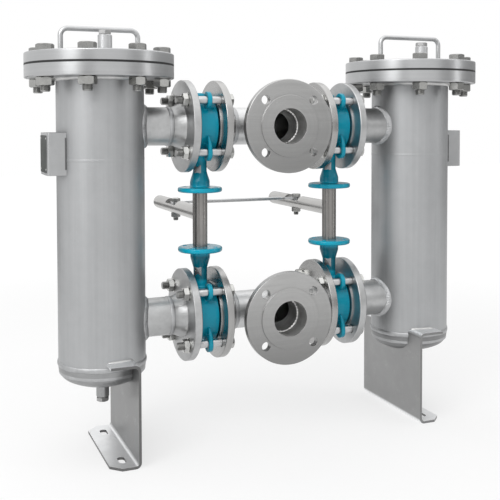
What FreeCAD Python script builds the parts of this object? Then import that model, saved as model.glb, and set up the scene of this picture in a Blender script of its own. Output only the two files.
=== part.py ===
import FreeCAD, Part
import math
import os

# Duplex basket strainer: two bolted vessels side by side, an upper and a lower header between
# them, four wafer butterfly valves, and one linkage that changes the flow from one vessel to the
# other. Millimetres, +Z up, +X along the headers, header ports towards -Y. The origin lies on
# the floor, midway between the two vessels.

V = FreeCAD.Vector
X_AXIS = V(1, 0, 0)
Y_AXIS = V(0, 1, 0)
Z_AXIS = V(0, 0, 1)
ORIGIN = V(0, 0, 0)
OVERSHOOT = 1.0

# vessels
shell_od = 168.3
shell_wall = 3.4
girth_weld_z = 179.0
cap_skirt = 7.0
body_length = 571.5
gasket_thickness = 2.0

# header and nozzles
lower_nozzle_rise = 74.0
upper_nozzle_drop = 117.5
pipe_od = 76.1
pipe_wall = 2.9
tee_run_half = 79.0
tee_branch_half = 76.0
tee_crotch_radius = 18.0
nozzle_pipe_length = 50.0

# weld-neck flanges
flange_thickness = 18.0
flange_bolt_wall = 34.45
flange_edge = 20.0
raised_face_edge = 11.5
raised_face_height = 3.0
hub_wall = 7.95
weld_neck_length = 45.0
weld_neck_straight = 8.0
flange_bolt_dia = 16.0
flange_bolt_count = 4
flange_hole_gap = 1.0
flange_chamfer = 1.2

# body flange and cover
cover_thickness = 21.0
body_flange_thickness = 25.0
cover_bolt_wall = 35.85
cover_edge = 22.5
cover_bolt_dia = 20.0
cover_bolt_count = 8
cover_hole_gap = 1.0
shell_setback = 5.0
cover_edge_chamfer = 1.5

# cover lifting handle
handle_span = 150.0
handle_height = 52.5
handle_rod_dia = 10.0
handle_bend_radius = 14.0

# half couplings and plugs
plug_thread_dia = 19.0
vent_coupling_wall = 4.0
drain_coupling_wall = 3.0
vent_offset = 46.0
vent_height = 33.0
drain_length = 24.0
plug_head_wall = 1.5
plug_head_height = 8.5
plug_engagement = 16.0
coupling_chamfer = 1.5

# seat ring and basket
seat_drop = 63.0
seat_thickness = 8.0
seat_width = 14.75
basket_gap = 3.0
basket_wall = 1.5
basket_rim_width = 10.0
basket_rim_thickness = 5.0
basket_foot_gap = 41.0
basket_window_columns = 10
basket_window_rows = 5
basket_window_share = 0.6
basket_web_height = 14.0
bail_rod_dia = 6.0
bail_cover_gap = 40.0
bail_bend_radius = 20.0

# legs
leg_sheet = 5.0
leg_web_offset = 46.65
leg_depth = 56.5
leg_shoulder = 34.35
leg_weld_overlap = 14.0
leg_bend_radius = 6.0
foot_corner_cut = 20.0
foot_slot_width = 14.0
foot_slot_length = 30.0
foot_hole_from_web = 28.5
foot_hole_edge = 40.5

# nameplate brackets
bracket_standoff = 23.85
bracket_width = 85.0
bracket_drop = 128.5
bracket_height = 80.0
bracket_sheet = 3.0
bracket_bend_radius = 3.0

# wafer butterfly valves
valve_face_to_face = 46.0
valve_body_width = 44.0
valve_bolt_gap = 7.5
liner_bore_gap = 0.35
liner_wall = 6.5
liner_lip_edge = 6.0
ear_wall = 8.0
ear_thickness = 9.0
ear_arm_width = 13.0
foot_boss_wall = 4.0
foot_boss_rise = 10.0
foot_boss_chamfer = 3.0
stem_dia = 14.0
neck_wall = 7.0
neck_top_flare = 6.0
neck_cone_height = 18.0
neck_collar_height = 12.0
valve_body_chamfer = 2.0
actuator_pcd = 70.0
actuator_edge = 10.0
actuator_flange_thickness = 10.0
actuator_rise = 73.0
actuator_hole_dia = 9.0
stem_foot_grip = 8.0
stem_grip = 24.0
disc_edge_clearance = 0.3
disc_thickness = 8.0
disc_hub_wall = 4.0
disc_hub_end_gap = 3.2
disc_rest_angle = 45.0
running_clearance = 0.06

# changeover linkage
shaft_wall = 8.0
shaft_end_gap = 0.8
lever_dia = 30.0
lever_rise = 12.5
lever_tip_y = 298.0
lever_tip_round = 4.0
link_pin_y = 167.0
link_seat_depth = 9.0
link_seat_half_length = 36.0
link_nut_seat_depth = 2.0
link_bolt_dia = 12.0
link_head_wall = 3.0
link_bolt_head_height = 7.5
link_nut_height = 10.8
link_bolt_end = 7.0
link_gap = 0.3
tie_rod_dia = 8.0
tie_eye_thickness = 4.5
tie_eye_wall = 6.0
tie_flat_length = 30.0
tie_neck_length = 14.0
shaft_chamfer = 1.0

# fasteners
cover_head_wall = 5.0
cover_bolt_head = 12.5
cover_nut_height = 16.0
cover_bolt_end = 11.0
flange_head_wall = 4.0
flange_bolt_head = 10.0
flange_nut_height = 13.0
flange_bolt_end = 12.0

# vessels, worked out from the values above
shell_r = shell_od / 2
shell_bore_r = shell_r - shell_wall
joint_z = girth_weld_z + body_length
body_flange_top_z = joint_z - gasket_thickness / 2
body_flange_bottom_z = body_flange_top_z - body_flange_thickness
cover_bottom_z = joint_z + gasket_thickness / 2
cover_top_z = cover_bottom_z + cover_thickness
cover_pcd = shell_od + 2 * cover_bolt_wall
cover_od = cover_pcd + 2 * cover_edge
cover_hole_r = cover_bolt_dia / 2 + cover_hole_gap
crown_r = 0.9 * shell_od
knuckle_r = 0.17 * shell_od
knuckle_centre_r = shell_r - knuckle_r
cap_depth = cap_skirt + crown_r - math.sqrt((crown_r - knuckle_r) ** 2 - knuckle_centre_r ** 2)
knuckle_top_z = girth_weld_z - cap_skirt
cap_bottom_z = girth_weld_z - cap_depth
cover_bolt_af = cover_bolt_dia + 2 * cover_head_wall
plug_r = plug_thread_dia / 2
plug_head_af = plug_thread_dia + 2 * plug_head_wall
lower_axis_z = girth_weld_z + lower_nozzle_rise
upper_axis_z = joint_z - upper_nozzle_drop
seat_z = upper_axis_z - seat_drop
seat_bore_r = shell_bore_r - seat_width
basket_r = seat_bore_r - basket_gap
basket_length = seat_z - girth_weld_z - basket_foot_gap

# flanges and header, worked out
pipe_r = pipe_od / 2
pipe_bore_r = pipe_r - pipe_wall
hub_r = pipe_r + hub_wall
flange_pcd = pipe_od + 2 * flange_bolt_wall
flange_r = flange_pcd / 2 + flange_edge
raised_face_r = flange_pcd / 2 - raised_face_edge
flange_hole_r = flange_bolt_dia / 2 + flange_hole_gap
flange_bolt_af = flange_bolt_dia + 2 * flange_head_wall
header_face_x = tee_run_half + weld_neck_length
valve_x = header_face_x + valve_face_to_face / 2
nozzle_face_x = header_face_x + valve_face_to_face
vessel_x = nozzle_face_x + weld_neck_length + nozzle_pipe_length + shell_r
branch_face_y = -(tee_branch_half + weld_neck_length)

# legs, worked out
leg_web_x = vessel_x - leg_web_offset
leg_end_x = leg_web_x + leg_depth
leg_width = shell_od + 2 * leg_shoulder
leg_height = girth_weld_z + leg_weld_overlap
foot_hole_x = leg_web_x + foot_hole_from_web
foot_hole_y = leg_width / 2 - foot_hole_edge

# valves and linkage, worked out
liner_bore_r = pipe_bore_r + liner_bore_gap
liner_r = liner_bore_r + liner_wall
valve_ring_r = flange_pcd / 2 - flange_bolt_dia / 2 - valve_bolt_gap
liner_lip_r = valve_ring_r - liner_lip_edge
liner_lip_thickness = (valve_face_to_face - valve_body_width) / 2
ear_hole_r = flange_hole_r
ear_outer_r = ear_hole_r + ear_wall
stem_r = stem_dia / 2
neck_r = stem_r + neck_wall
foot_boss_r = stem_r + foot_boss_wall
actuator_face_height = valve_ring_r + actuator_rise
actuator_flange_r = actuator_pcd / 2 + actuator_edge
actuator_upper_z = upper_axis_z - actuator_face_height
actuator_lower_z = lower_axis_z + actuator_face_height
shaft_r = stem_r + shaft_wall
lever_r = lever_dia / 2
lever_axis_z = (actuator_upper_z + actuator_lower_z) / 2 + lever_rise
link_seat_z = lever_axis_z + lever_r - link_seat_depth
link_nut_seat_z = lever_axis_z - lever_r + link_nut_seat_depth
link_bolt_r = link_bolt_dia / 2
link_bolt_af = link_bolt_dia + 2 * link_head_wall
tie_rod_r = tie_rod_dia / 2
tie_eye_r = link_bolt_r + tie_eye_wall
tie_eye_bottom_z = link_seat_z + link_gap
tie_eye_top_z = tie_eye_bottom_z + tie_eye_thickness
tie_axis_z = (tie_eye_bottom_z + tie_eye_top_z) / 2

SIDES = {"left": -1, "right": 1}
LEVELS = {"upper": upper_axis_z, "lower": lower_axis_z}


def cylinder(radius, start, direction, length):
    return Part.makeCylinder(radius, length, start, direction)


def ring(outer_r, inner_r, start, direction, length):
    hollow = cylinder(inner_r, start - direction * OVERSHOOT, direction, length + 2 * OVERSHOOT)
    return cylinder(outer_r, start, direction, length).cut(hollow)


def polygon_face(points):
    return Part.Face(Part.makePolygon(points + [points[0]]))


def fused(pieces):
    whole = pieces[0]
    for piece in pieces[1:]:
        whole = whole.fuse(piece)
    return whole.removeSplitter()


def revolved(profile, axis):
    # The profile's pairs are a place along the axis and a radius.
    across = Y_AXIS if axis == X_AXIS else X_AXIS
    return polygon_face([axis * along + across * radius for along, radius in profile]).revolve(ORIGIN, axis, 360)


def chamfered_rod(radius, start, end, chamfer):
    # Upright, about the Z axis.
    return revolved([(start, 0), (start, radius - chamfer), (start + chamfer, radius), (end - chamfer, radius),
                     (end, radius - chamfer), (end, 0)], Z_AXIS)


def turned(shape, angle, axis=Z_AXIS, centre=ORIGIN):
    copy = shape.copy()
    copy.rotate(centre, axis, angle)
    return copy


def moved(shape, offset):
    copy = shape.copy()
    copy.translate(offset)
    return copy


def mirrored_x(shape):
    return shape.mirror(ORIGIN, X_AXIS)


def hexagon(across_flats, start, direction, height):
    # One corner points along +Y, or along +X for an upright hexagon.
    corner_r = across_flats / math.sqrt(3)
    towards = X_AXIS if abs(direction.z) > 0.5 else Y_AXIS
    across = direction.cross(towards)
    points = []
    for corner in range(6):
        angle = math.radians(60 * corner)
        points.append(start + towards * (corner_r * math.cos(angle)) + across * (corner_r * math.sin(angle)))
    return polygon_face(points).extrude(direction * height)


def hex_bolt(seat, direction, dia, across_flats, head_height, length):
    # The seat is the underside of the head, and direction points along the shank.
    head = hexagon(across_flats, seat - direction * head_height, direction, head_height)
    return head.fuse(cylinder(dia / 2, seat, direction, length)).removeSplitter()


def hex_nut(seat, direction, dia, across_flats, height):
    bore = cylinder(dia / 2, seat - direction * OVERSHOOT, direction, height + 2 * OVERSHOOT)
    return hexagon(across_flats, seat, direction, height).cut(bore)


def circle_places(count, pcd, first_angle):
    places = []
    for index in range(count):
        angle = math.radians(first_angle + 360.0 * index / count)
        places.append((pcd / 2 * math.cos(angle), pcd / 2 * math.sin(angle)))
    return places


cover_bolt_places = circle_places(cover_bolt_count, cover_pcd, 180.0 / cover_bolt_count)
flange_bolt_places = circle_places(flange_bolt_count, flange_pcd, 180.0 / flange_bolt_count)
actuator_bolt_places = circle_places(4, actuator_pcd, 45.0)


def rod_path(points, bend_radius):
    # Straight runs with a tangent arc at each inner point.
    edges = []
    start = points[0]
    for before, corner, after in zip(points, points[1:], points[2:]):
        back = (before - corner).normalize()
        ahead = (after - corner).normalize()
        half_turn = back.getAngle(ahead) / 2
        reach = bend_radius / math.tan(half_turn)
        arc_start = corner + back * reach
        arc_end = corner + ahead * reach
        bisector = (back + ahead).normalize()
        centre = corner + bisector * (bend_radius / math.sin(half_turn))
        arc_middle = centre - bisector * bend_radius
        edges.append(Part.LineSegment(start, arc_start).toShape())
        edges.append(Part.Arc(arc_start, arc_middle, arc_end).toShape())
        start = arc_end
    edges.append(Part.LineSegment(start, points[-1]).toShape())
    return Part.Wire(edges)


def bent_rod(points, bend_radius, dia):
    path = rod_path(points, bend_radius)
    first_run = (points[1] - points[0]).normalize()
    section = Part.Wire([Part.makeCircle(dia / 2, points[0], first_run)])
    return path.makePipeShell([section], True, True)


def bent_sheet(points, thickness, inner_radius, width_axis, width):
    # A sheet folded along points, which run down its outer face. The sheet lies to the side that
    # the folds close on, and it is extruded along width_axis, centred.
    outer_radius = inner_radius + thickness
    outer = rod_path(points, outer_radius)
    turn = (points[1] - points[0]).cross(points[2] - points[1]).normalize()
    inner_points = []
    for index, point in enumerate(points):
        runs = []
        if index > 0:
            runs.append((point - points[index - 1]).normalize())
        if index < len(points) - 1:
            runs.append((points[index + 1] - point).normalize())
        inner_points.append(point + sum((turn.cross(run) * thickness for run in runs), V()))
    inner = rod_path(inner_points, inner_radius)
    edges = list(outer.Edges) + list(inner.Edges)
    edges.append(Part.LineSegment(points[0], inner_points[0]).toShape())
    edges.append(Part.LineSegment(points[-1], inner_points[-1]).toShape())
    face = Part.Face(Part.Wire(Part.__sortEdges__(edges)))
    return moved(face, width_axis * (-width / 2)).extrude(width_axis * width)


def dished_head(centre_x, inset):
    # Solid head with a skirt, a knuckle arc and a crown arc, its surface inset from the outside.
    crown_centre_z = cap_bottom_z + crown_r
    lean = math.asin(knuckle_centre_r / (crown_r - knuckle_r))
    halfway = (lean + math.pi / 2) / 2
    rim = V(shell_r - inset, 0, girth_weld_z)
    knuckle_start = V(shell_r - inset, 0, knuckle_top_z)
    knuckle_mid = V(knuckle_centre_r + (knuckle_r - inset) * math.sin(halfway), 0,
                    knuckle_top_z - (knuckle_r - inset) * math.cos(halfway))
    knuckle_end = V((crown_r - inset) * math.sin(lean), 0, crown_centre_z - (crown_r - inset) * math.cos(lean))
    crown_mid = V((crown_r - inset) * math.sin(lean / 2), 0,
                  crown_centre_z - (crown_r - inset) * math.cos(lean / 2))
    bottom = V(0, 0, cap_bottom_z + inset)
    centre = V(0, 0, girth_weld_z)
    edges = [Part.LineSegment(rim, knuckle_start).toShape(),
             Part.Arc(knuckle_start, knuckle_mid, knuckle_end).toShape(),
             Part.Arc(knuckle_end, crown_mid, bottom).toShape(),
             Part.LineSegment(bottom, centre).toShape(), Part.LineSegment(centre, rim).toShape()]
    return moved(Part.Face(Part.Wire(edges)).revolve(ORIGIN, Z_AXIS, 360), V(centre_x, 0, 0))


def vessel_outside(centre_x):
    cap = dished_head(centre_x, 0)
    wall = cylinder(shell_r, V(centre_x, 0, girth_weld_z), Z_AXIS, joint_z - girth_weld_z)
    return cap.fuse(wall)


def weld_neck_flange():
    # Raised face in the plane x = 0, neck towards +X.
    flange = revolved([(0, pipe_bore_r), (0, raised_face_r), (raised_face_height, raised_face_r),
                       (raised_face_height, flange_r - flange_chamfer),
                       (raised_face_height + flange_chamfer, flange_r),
                       (flange_thickness - flange_chamfer, flange_r),
                       (flange_thickness, flange_r - flange_chamfer), (flange_thickness, hub_r),
                       (weld_neck_length - weld_neck_straight, pipe_r), (weld_neck_length, pipe_r),
                       (weld_neck_length, pipe_bore_r)], X_AXIS)
    for y, z in flange_bolt_places:
        hole = cylinder(flange_hole_r, V(-OVERSHOOT, y, z), X_AXIS, flange_thickness + 2 * OVERSHOOT)
        flange = flange.cut(hole)
    return flange


def header_flange(face_centre, outward_angle):
    # outward_angle is the direction that the raised face looks, counted from +X about +Z.
    return moved(turned(weld_neck_flange(), outward_angle + 180), face_centre)


def tee(axis_z):
    run = cylinder(pipe_r, V(-tee_run_half, 0, 0), X_AXIS, 2 * tee_run_half)
    branch = cylinder(pipe_r, V(0, -tee_branch_half, 0), Y_AXIS, tee_branch_half)
    sweep_r = pipe_r + tee_crotch_radius
    crotches = []
    for side in SIDES.values():
        section = Part.Face(Part.Wire([Part.makeCircle(pipe_r, V(side * sweep_r, 0, 0), X_AXIS)]))
        pivot = V(side * sweep_r, -sweep_r, 0)
        crotches.append(section.revolve(pivot, Z_AXIS, side * 90))
    body = fused([run, branch] + crotches)
    body = body.cut(cylinder(pipe_bore_r, V(-tee_run_half - OVERSHOOT, 0, 0), X_AXIS,
                             2 * (tee_run_half + OVERSHOOT)))
    body = body.cut(cylinder(pipe_bore_r, V(0, -tee_branch_half - OVERSHOOT, 0), Y_AXIS,
                             tee_branch_half + OVERSHOOT))
    return moved(body, V(0, 0, axis_z))


def nozzle(side, axis_z):
    # Weld-neck flange and pipe stub in one weldment, saddled onto the shell.
    flange = moved(weld_neck_flange(), V(nozzle_face_x, 0, 0))
    stub_start = nozzle_face_x + weld_neck_length
    stub = ring(pipe_r, pipe_bore_r, V(stub_start, 0, 0), X_AXIS, vessel_x - stub_start)
    whole = fused([flange, stub])
    whole = moved(whole, V(0, 0, axis_z))
    whole = whole.cut(cylinder(shell_r, V(vessel_x, 0, 0), Z_AXIS, joint_z))
    return whole if side > 0 else mirrored_x(whole)


def shell(side):
    centre = V(side * vessel_x, 0, girth_weld_z)
    wall = ring(shell_r, shell_bore_r, centre, Z_AXIS, body_flange_top_z - shell_setback - girth_weld_z)
    for axis_z in LEVELS.values():
        wall = wall.cut(cylinder(pipe_bore_r, V(0, 0, axis_z), X_AXIS * side, vessel_x))
    return wall


def bottom_cap(side):
    centre_x = side * vessel_x
    drain = cylinder(plug_r, V(centre_x, 0, cap_bottom_z - OVERSHOOT), Z_AXIS, cap_depth)
    return dished_head(centre_x, 0).cut(dished_head(centre_x, shell_wall)).cut(drain)


def bolted_disc(side, bottom_z, thickness, inner_r):
    centre = V(side * vessel_x, 0, bottom_z)
    disc = cylinder(cover_od / 2, centre, Z_AXIS, thickness)
    if inner_r > 0:
        disc = disc.cut(cylinder(inner_r, centre - Z_AXIS * OVERSHOOT, Z_AXIS, thickness + 2 * OVERSHOOT))
    for x, y in cover_bolt_places:
        start = centre + V(x, y, -OVERSHOOT)
        disc = disc.cut(cylinder(cover_hole_r, start, Z_AXIS, thickness + 2 * OVERSHOOT))
    return disc


def outer_rim_edges(shape, radius, z):
    return [edge for edge in shape.Edges
            if hasattr(edge.Curve, "Radius") and abs(edge.Curve.Radius - radius) < 0.01
            and abs(edge.BoundBox.ZMin - z) < 0.01 and abs(edge.BoundBox.ZMax - z) < 0.01]


def body_flange(side):
    # Slip-on: the shell ends a little below its face, inside the bore.
    flange = bolted_disc(side, body_flange_bottom_z, body_flange_thickness, shell_r)
    return flange.makeChamfer(cover_edge_chamfer,
                              outer_rim_edges(flange, cover_od / 2, body_flange_bottom_z))


def cover(side):
    plate = bolted_disc(side, cover_bottom_z, cover_thickness, 0)
    plate = plate.makeChamfer(cover_edge_chamfer, outer_rim_edges(plate, cover_od / 2, cover_top_z))
    vent_hole = cylinder(plug_r, V(side * vessel_x, -vent_offset, cover_bottom_z - OVERSHOOT), Z_AXIS,
                         cover_thickness + 2 * OVERSHOOT)
    return plate.cut(vent_hole)


def cover_gaskets():
    return [bolted_disc(side, body_flange_top_z, gasket_thickness, shell_r) for side in SIDES.values()]


def cover_handle(side):
    half = handle_span / 2
    top = cover_top_z + handle_height - handle_rod_dia / 2
    points = [V(-half, 0, cover_top_z), V(-half, 0, top), V(half, 0, top), V(half, 0, cover_top_z)]
    return moved(bent_rod(points, handle_bend_radius, handle_rod_dia), V(side * vessel_x, 0, 0))


def vent_coupling(side):
    outside = chamfered_rod(plug_r + vent_coupling_wall, 0, vent_height, coupling_chamfer)
    socket = outside.cut(cylinder(plug_r, V(0, 0, -OVERSHOOT), Z_AXIS, vent_height + 2 * OVERSHOOT))
    return moved(socket, V(side * vessel_x, -vent_offset, cover_top_z))


def drain_coupling(side):
    centre_x = side * vessel_x
    bottom_z = cap_bottom_z - drain_length
    length = drain_length + cap_depth / 2
    outside = chamfered_rod(plug_r + drain_coupling_wall, 0, length, coupling_chamfer)
    socket = outside.cut(cylinder(plug_r, V(0, 0, -OVERSHOOT), Z_AXIS, length + 2 * OVERSHOOT))
    return moved(socket, V(centre_x, 0, bottom_z)).cut(dished_head(centre_x, 0))


def screw_plugs():
    plugs = []
    for side in SIDES.values():
        vent_seat = V(side * vessel_x, -vent_offset, cover_top_z + vent_height)
        drain_seat = V(side * vessel_x, 0, cap_bottom_z - drain_length)
        for seat, inward in ((vent_seat, -Z_AXIS), (drain_seat, Z_AXIS)):
            plugs.append(hex_bolt(seat, inward, plug_thread_dia, plug_head_af, plug_head_height,
                                  plug_engagement))
    return plugs


def seat_ring(side):
    return ring(shell_bore_r, seat_bore_r, V(side * vessel_x, 0, seat_z - seat_thickness), Z_AXIS,
                seat_thickness)


def basket(side):
    # The rim rests on the seat ring, and the bail is welded to the rim.
    outer_r = basket_r
    inner_r = outer_r - basket_wall
    bottom_z = seat_z - basket_length
    window_width = basket_window_share * 2 * math.pi * outer_r / basket_window_columns
    wall = ring(outer_r, inner_r, V(0, 0, bottom_z), Z_AXIS, basket_length)
    floor = cylinder(outer_r, V(0, 0, bottom_z), Z_AXIS, basket_wall)
    rim = ring(outer_r + basket_rim_width, inner_r, V(0, 0, seat_z), Z_AXIS, basket_rim_thickness)
    pitch = (basket_length - basket_web_height) / basket_window_rows
    window_height = pitch - basket_web_height
    cuts = []
    for row in range(basket_window_rows):
        for column in range(basket_window_columns // 2):
            start_z = bottom_z + basket_web_height + row * pitch
            box = Part.makeBox(2 * (outer_r + OVERSHOOT), window_width, window_height,
                               V(-outer_r - OVERSHOOT, -window_width / 2, start_z))
            cuts.append(turned(box, 360.0 * (column + 0.5 * (row % 2)) / basket_window_columns))
    wall = wall.cut(Part.makeCompound(cuts))
    half = inner_r + (outer_r + basket_rim_width - inner_r) / 2
    foot_z = seat_z + basket_rim_thickness
    top_z = cover_bottom_z - bail_cover_gap
    bail = bent_rod([V(0, -half, foot_z), V(0, -half, top_z), V(0, half, top_z), V(0, half, foot_z)],
                    bail_bend_radius, bail_rod_dia)
    return moved(fused([wall, floor, rim, bail]), V(side * vessel_x, 0, 0))


def foot_slot(centre_y):
    # Cutter for a slot with round ends, its length along Y.
    half = (foot_slot_length - foot_slot_width) / 2
    height = leg_sheet + 2 * OVERSHOOT
    ends = [cylinder(foot_slot_width / 2, V(foot_hole_x, centre_y + shift, -OVERSHOOT), Z_AXIS, height)
            for shift in (-half, half)]
    middle = Part.makeBox(foot_slot_width, 2 * half, height,
                          V(foot_hole_x - foot_slot_width / 2, centre_y - half, -OVERSHOOT))
    return fused(ends + [middle])


def leg(side):
    # A folded plate: foot, upright web and a lip that the shell stands in.
    points = [V(leg_end_x, 0, 0), V(leg_web_x, 0, 0), V(leg_web_x, 0, leg_height),
              V(leg_end_x, 0, leg_height)]
    plate = bent_sheet(points, leg_sheet, leg_bend_radius, Y_AXIS, leg_width)
    plate = plate.cut(vessel_outside(vessel_x))
    half = leg_width / 2
    for end in (-1, 1):
        corner = [V(leg_end_x, end * (half - foot_corner_cut), -OVERSHOOT),
                  V(leg_end_x, end * half, -OVERSHOOT),
                  V(leg_end_x - foot_corner_cut, end * half, -OVERSHOOT)]
        plate = plate.cut(polygon_face(corner).extrude(Z_AXIS * (leg_sheet + 2 * OVERSHOOT)))
        plate = plate.cut(foot_slot(end * foot_hole_y))
    return plate if side > 0 else mirrored_x(plate)


def nameplate_bracket(side):
    half = bracket_width / 2
    face_x = vessel_x + shell_r + bracket_standoff
    points = [V(vessel_x, -half, 0), V(face_x, -half, 0), V(face_x, half, 0), V(vessel_x, half, 0)]
    sheet = bent_sheet(points, bracket_sheet, bracket_bend_radius, Z_AXIS, bracket_height)
    sheet = moved(sheet, V(0, 0, joint_z - bracket_drop - bracket_height / 2))
    sheet = sheet.cut(cylinder(shell_r, V(vessel_x, 0, 0), Z_AXIS, joint_z))
    return sheet if side > 0 else mirrored_x(sheet)


# Each valve piece below is made about the pipe's centre with the neck towards +Z, and placed last.


def valve_body_upright():
    half = valve_body_width / 2
    flange_bottom = actuator_face_height - actuator_flange_thickness
    inner_end = half - valve_body_chamfer
    pieces = [revolved([(-half, 0), (-half, valve_ring_r - valve_body_chamfer), (-inner_end, valve_ring_r),
                        (inner_end, valve_ring_r), (half, valve_ring_r - valve_body_chamfer), (half, 0)],
                       X_AXIS)]
    for y, z in flange_bolt_places:
        centre = V(-ear_thickness / 2, y, z)
        pieces.append(cylinder(ear_outer_r, centre, X_AXIS, ear_thickness))
        arm = Part.makeBox(ear_thickness, flange_pcd / 2, ear_arm_width,
                           V(-ear_thickness / 2, 0, -ear_arm_width / 2))
        pieces.append(turned(arm, math.degrees(math.atan2(z, y)), X_AXIS))
    collar_r = neck_r + neck_top_flare
    collar_bottom = flange_bottom - neck_collar_height
    pieces.append(revolved([(0, 0), (0, neck_r), (collar_bottom - neck_cone_height, neck_r),
                            (collar_bottom, collar_r), (flange_bottom, collar_r), (flange_bottom, 0)], Z_AXIS))
    pieces.append(chamfered_rod(actuator_flange_r, flange_bottom, actuator_face_height, valve_body_chamfer))
    pieces.append(chamfered_rod(foot_boss_r, -valve_ring_r - foot_boss_rise, 0, foot_boss_chamfer))
    body = fused(pieces)
    body = body.cut(cylinder(liner_r, V(-half - OVERSHOOT, 0, 0), X_AXIS, valve_body_width + 2 * OVERSHOOT))
    for y, z in flange_bolt_places:
        body = body.cut(cylinder(ear_hole_r, V(-half, y, z), X_AXIS, valve_body_width))
    for x, y in actuator_bolt_places:
        body = body.cut(cylinder(actuator_hole_dia / 2, V(x, y, flange_bottom - OVERSHOOT), Z_AXIS,
                                 actuator_flange_thickness + 2 * OVERSHOOT))
    return body.cut(stem_bore())


def stem_bore():
    start_z = -liner_r - stem_foot_grip - disc_edge_clearance
    return cylinder(stem_r + running_clearance, V(0, 0, start_z), Z_AXIS,
                    actuator_face_height + OVERSHOOT - start_z)


def valve_liner_upright():
    half = valve_face_to_face / 2
    liner = ring(liner_r, liner_bore_r, V(-half, 0, 0), X_AXIS, valve_face_to_face)
    lips = [ring(liner_lip_r, liner_bore_r, V(start, 0, 0), X_AXIS, liner_lip_thickness)
            for start in (-half, half - liner_lip_thickness)]
    return fused([liner] + lips).cut(stem_bore())


def valve_stem_upright():
    foot = liner_r + stem_foot_grip
    return cylinder(stem_r, V(0, 0, -foot), Z_AXIS, foot + actuator_face_height + stem_grip)


def valve_disc_upright():
    # Closed across the pipe. The rim is part of a sphere, so it turns clear of the liner.
    ball = Part.makeSphere(liner_bore_r - disc_edge_clearance)
    slab = Part.makeBox(disc_thickness, 2 * liner_bore_r, 2 * liner_bore_r,
                        V(-disc_thickness / 2, -liner_bore_r, -liner_bore_r))
    hub_half = liner_bore_r - disc_hub_end_gap
    hub = cylinder(stem_r + disc_hub_wall, V(0, 0, -hub_half), Z_AXIS, 2 * hub_half)
    disc = fused([ball.common(slab), hub])
    return disc.cut(cylinder(stem_r, V(0, 0, -liner_r), Z_AXIS, 2 * liner_r))


def placed_valve_piece(shape, side, level, turn=0.0):
    # The upper valves hang with their necks down, and the lower ones stand with them up.
    upright = level == "lower"
    piece = turned(shape, turn) if turn else shape
    if not upright:
        piece = turned(piece, 180, X_AXIS)
    return moved(piece, V(side * valve_x, 0, LEVELS[level]))


def disc_turn(side, level):
    # At rest every disc is half open. Turning the linkage by its full throw one way opens the
    # left pair as it closes the right pair. Turned over, an upper valve needs the opposite angle.
    angle = -side * disc_rest_angle
    return angle if level == "lower" else -angle


def shaft(side):
    bottom_z = actuator_lower_z + shaft_end_gap
    top_z = actuator_upper_z - shaft_end_gap
    centre_x = side * valve_x
    bar = moved(chamfered_rod(shaft_r, bottom_z, top_z, shaft_chamfer), V(centre_x, 0, 0))
    for level in LEVELS:
        bar = bar.cut(placed_valve_piece(valve_stem_upright(), side, level))
    return bar


def lever(side):
    centre = V(side * valve_x, 0, lever_axis_z)
    bar = cylinder(lever_r, ORIGIN, Y_AXIS, lever_tip_y)
    tip = [edge for edge in bar.Edges if edge.BoundBox.YMin > lever_tip_y - OVERSHOOT]
    bar = moved(bar.makeFillet(lever_tip_round, tip), centre)
    bar = bar.cut(cylinder(shaft_r, V(centre.x, 0, lever_axis_z - lever_dia), Z_AXIS, 2 * lever_dia))
    seat = Part.makeBox(2 * lever_dia, 2 * link_seat_half_length, lever_dia,
                        V(centre.x - lever_dia, link_pin_y - link_seat_half_length, link_seat_z))
    nut_seat = Part.makeBox(2 * lever_dia, 2 * link_bolt_af, lever_dia,
                            V(centre.x - lever_dia, link_pin_y - link_bolt_af,
                              link_nut_seat_z - lever_dia))
    hole = cylinder(link_bolt_r, V(centre.x, link_pin_y, lever_axis_z - lever_dia), Z_AXIS, 2 * lever_dia)
    return bar.cut(seat).cut(nut_seat).cut(hole)


def link_bolt(side):
    seat = V(side * valve_x, link_pin_y, tie_eye_top_z + link_gap)
    end_z = link_nut_seat_z - link_nut_height - link_bolt_end
    return hex_bolt(seat, -Z_AXIS, link_bolt_dia, link_bolt_af, link_bolt_head_height, seat.z - end_z)


def link_nut(side):
    return hex_nut(V(side * valve_x, link_pin_y, link_nut_seat_z), -Z_AXIS, link_bolt_dia,
                   link_bolt_af, link_nut_height)


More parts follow.
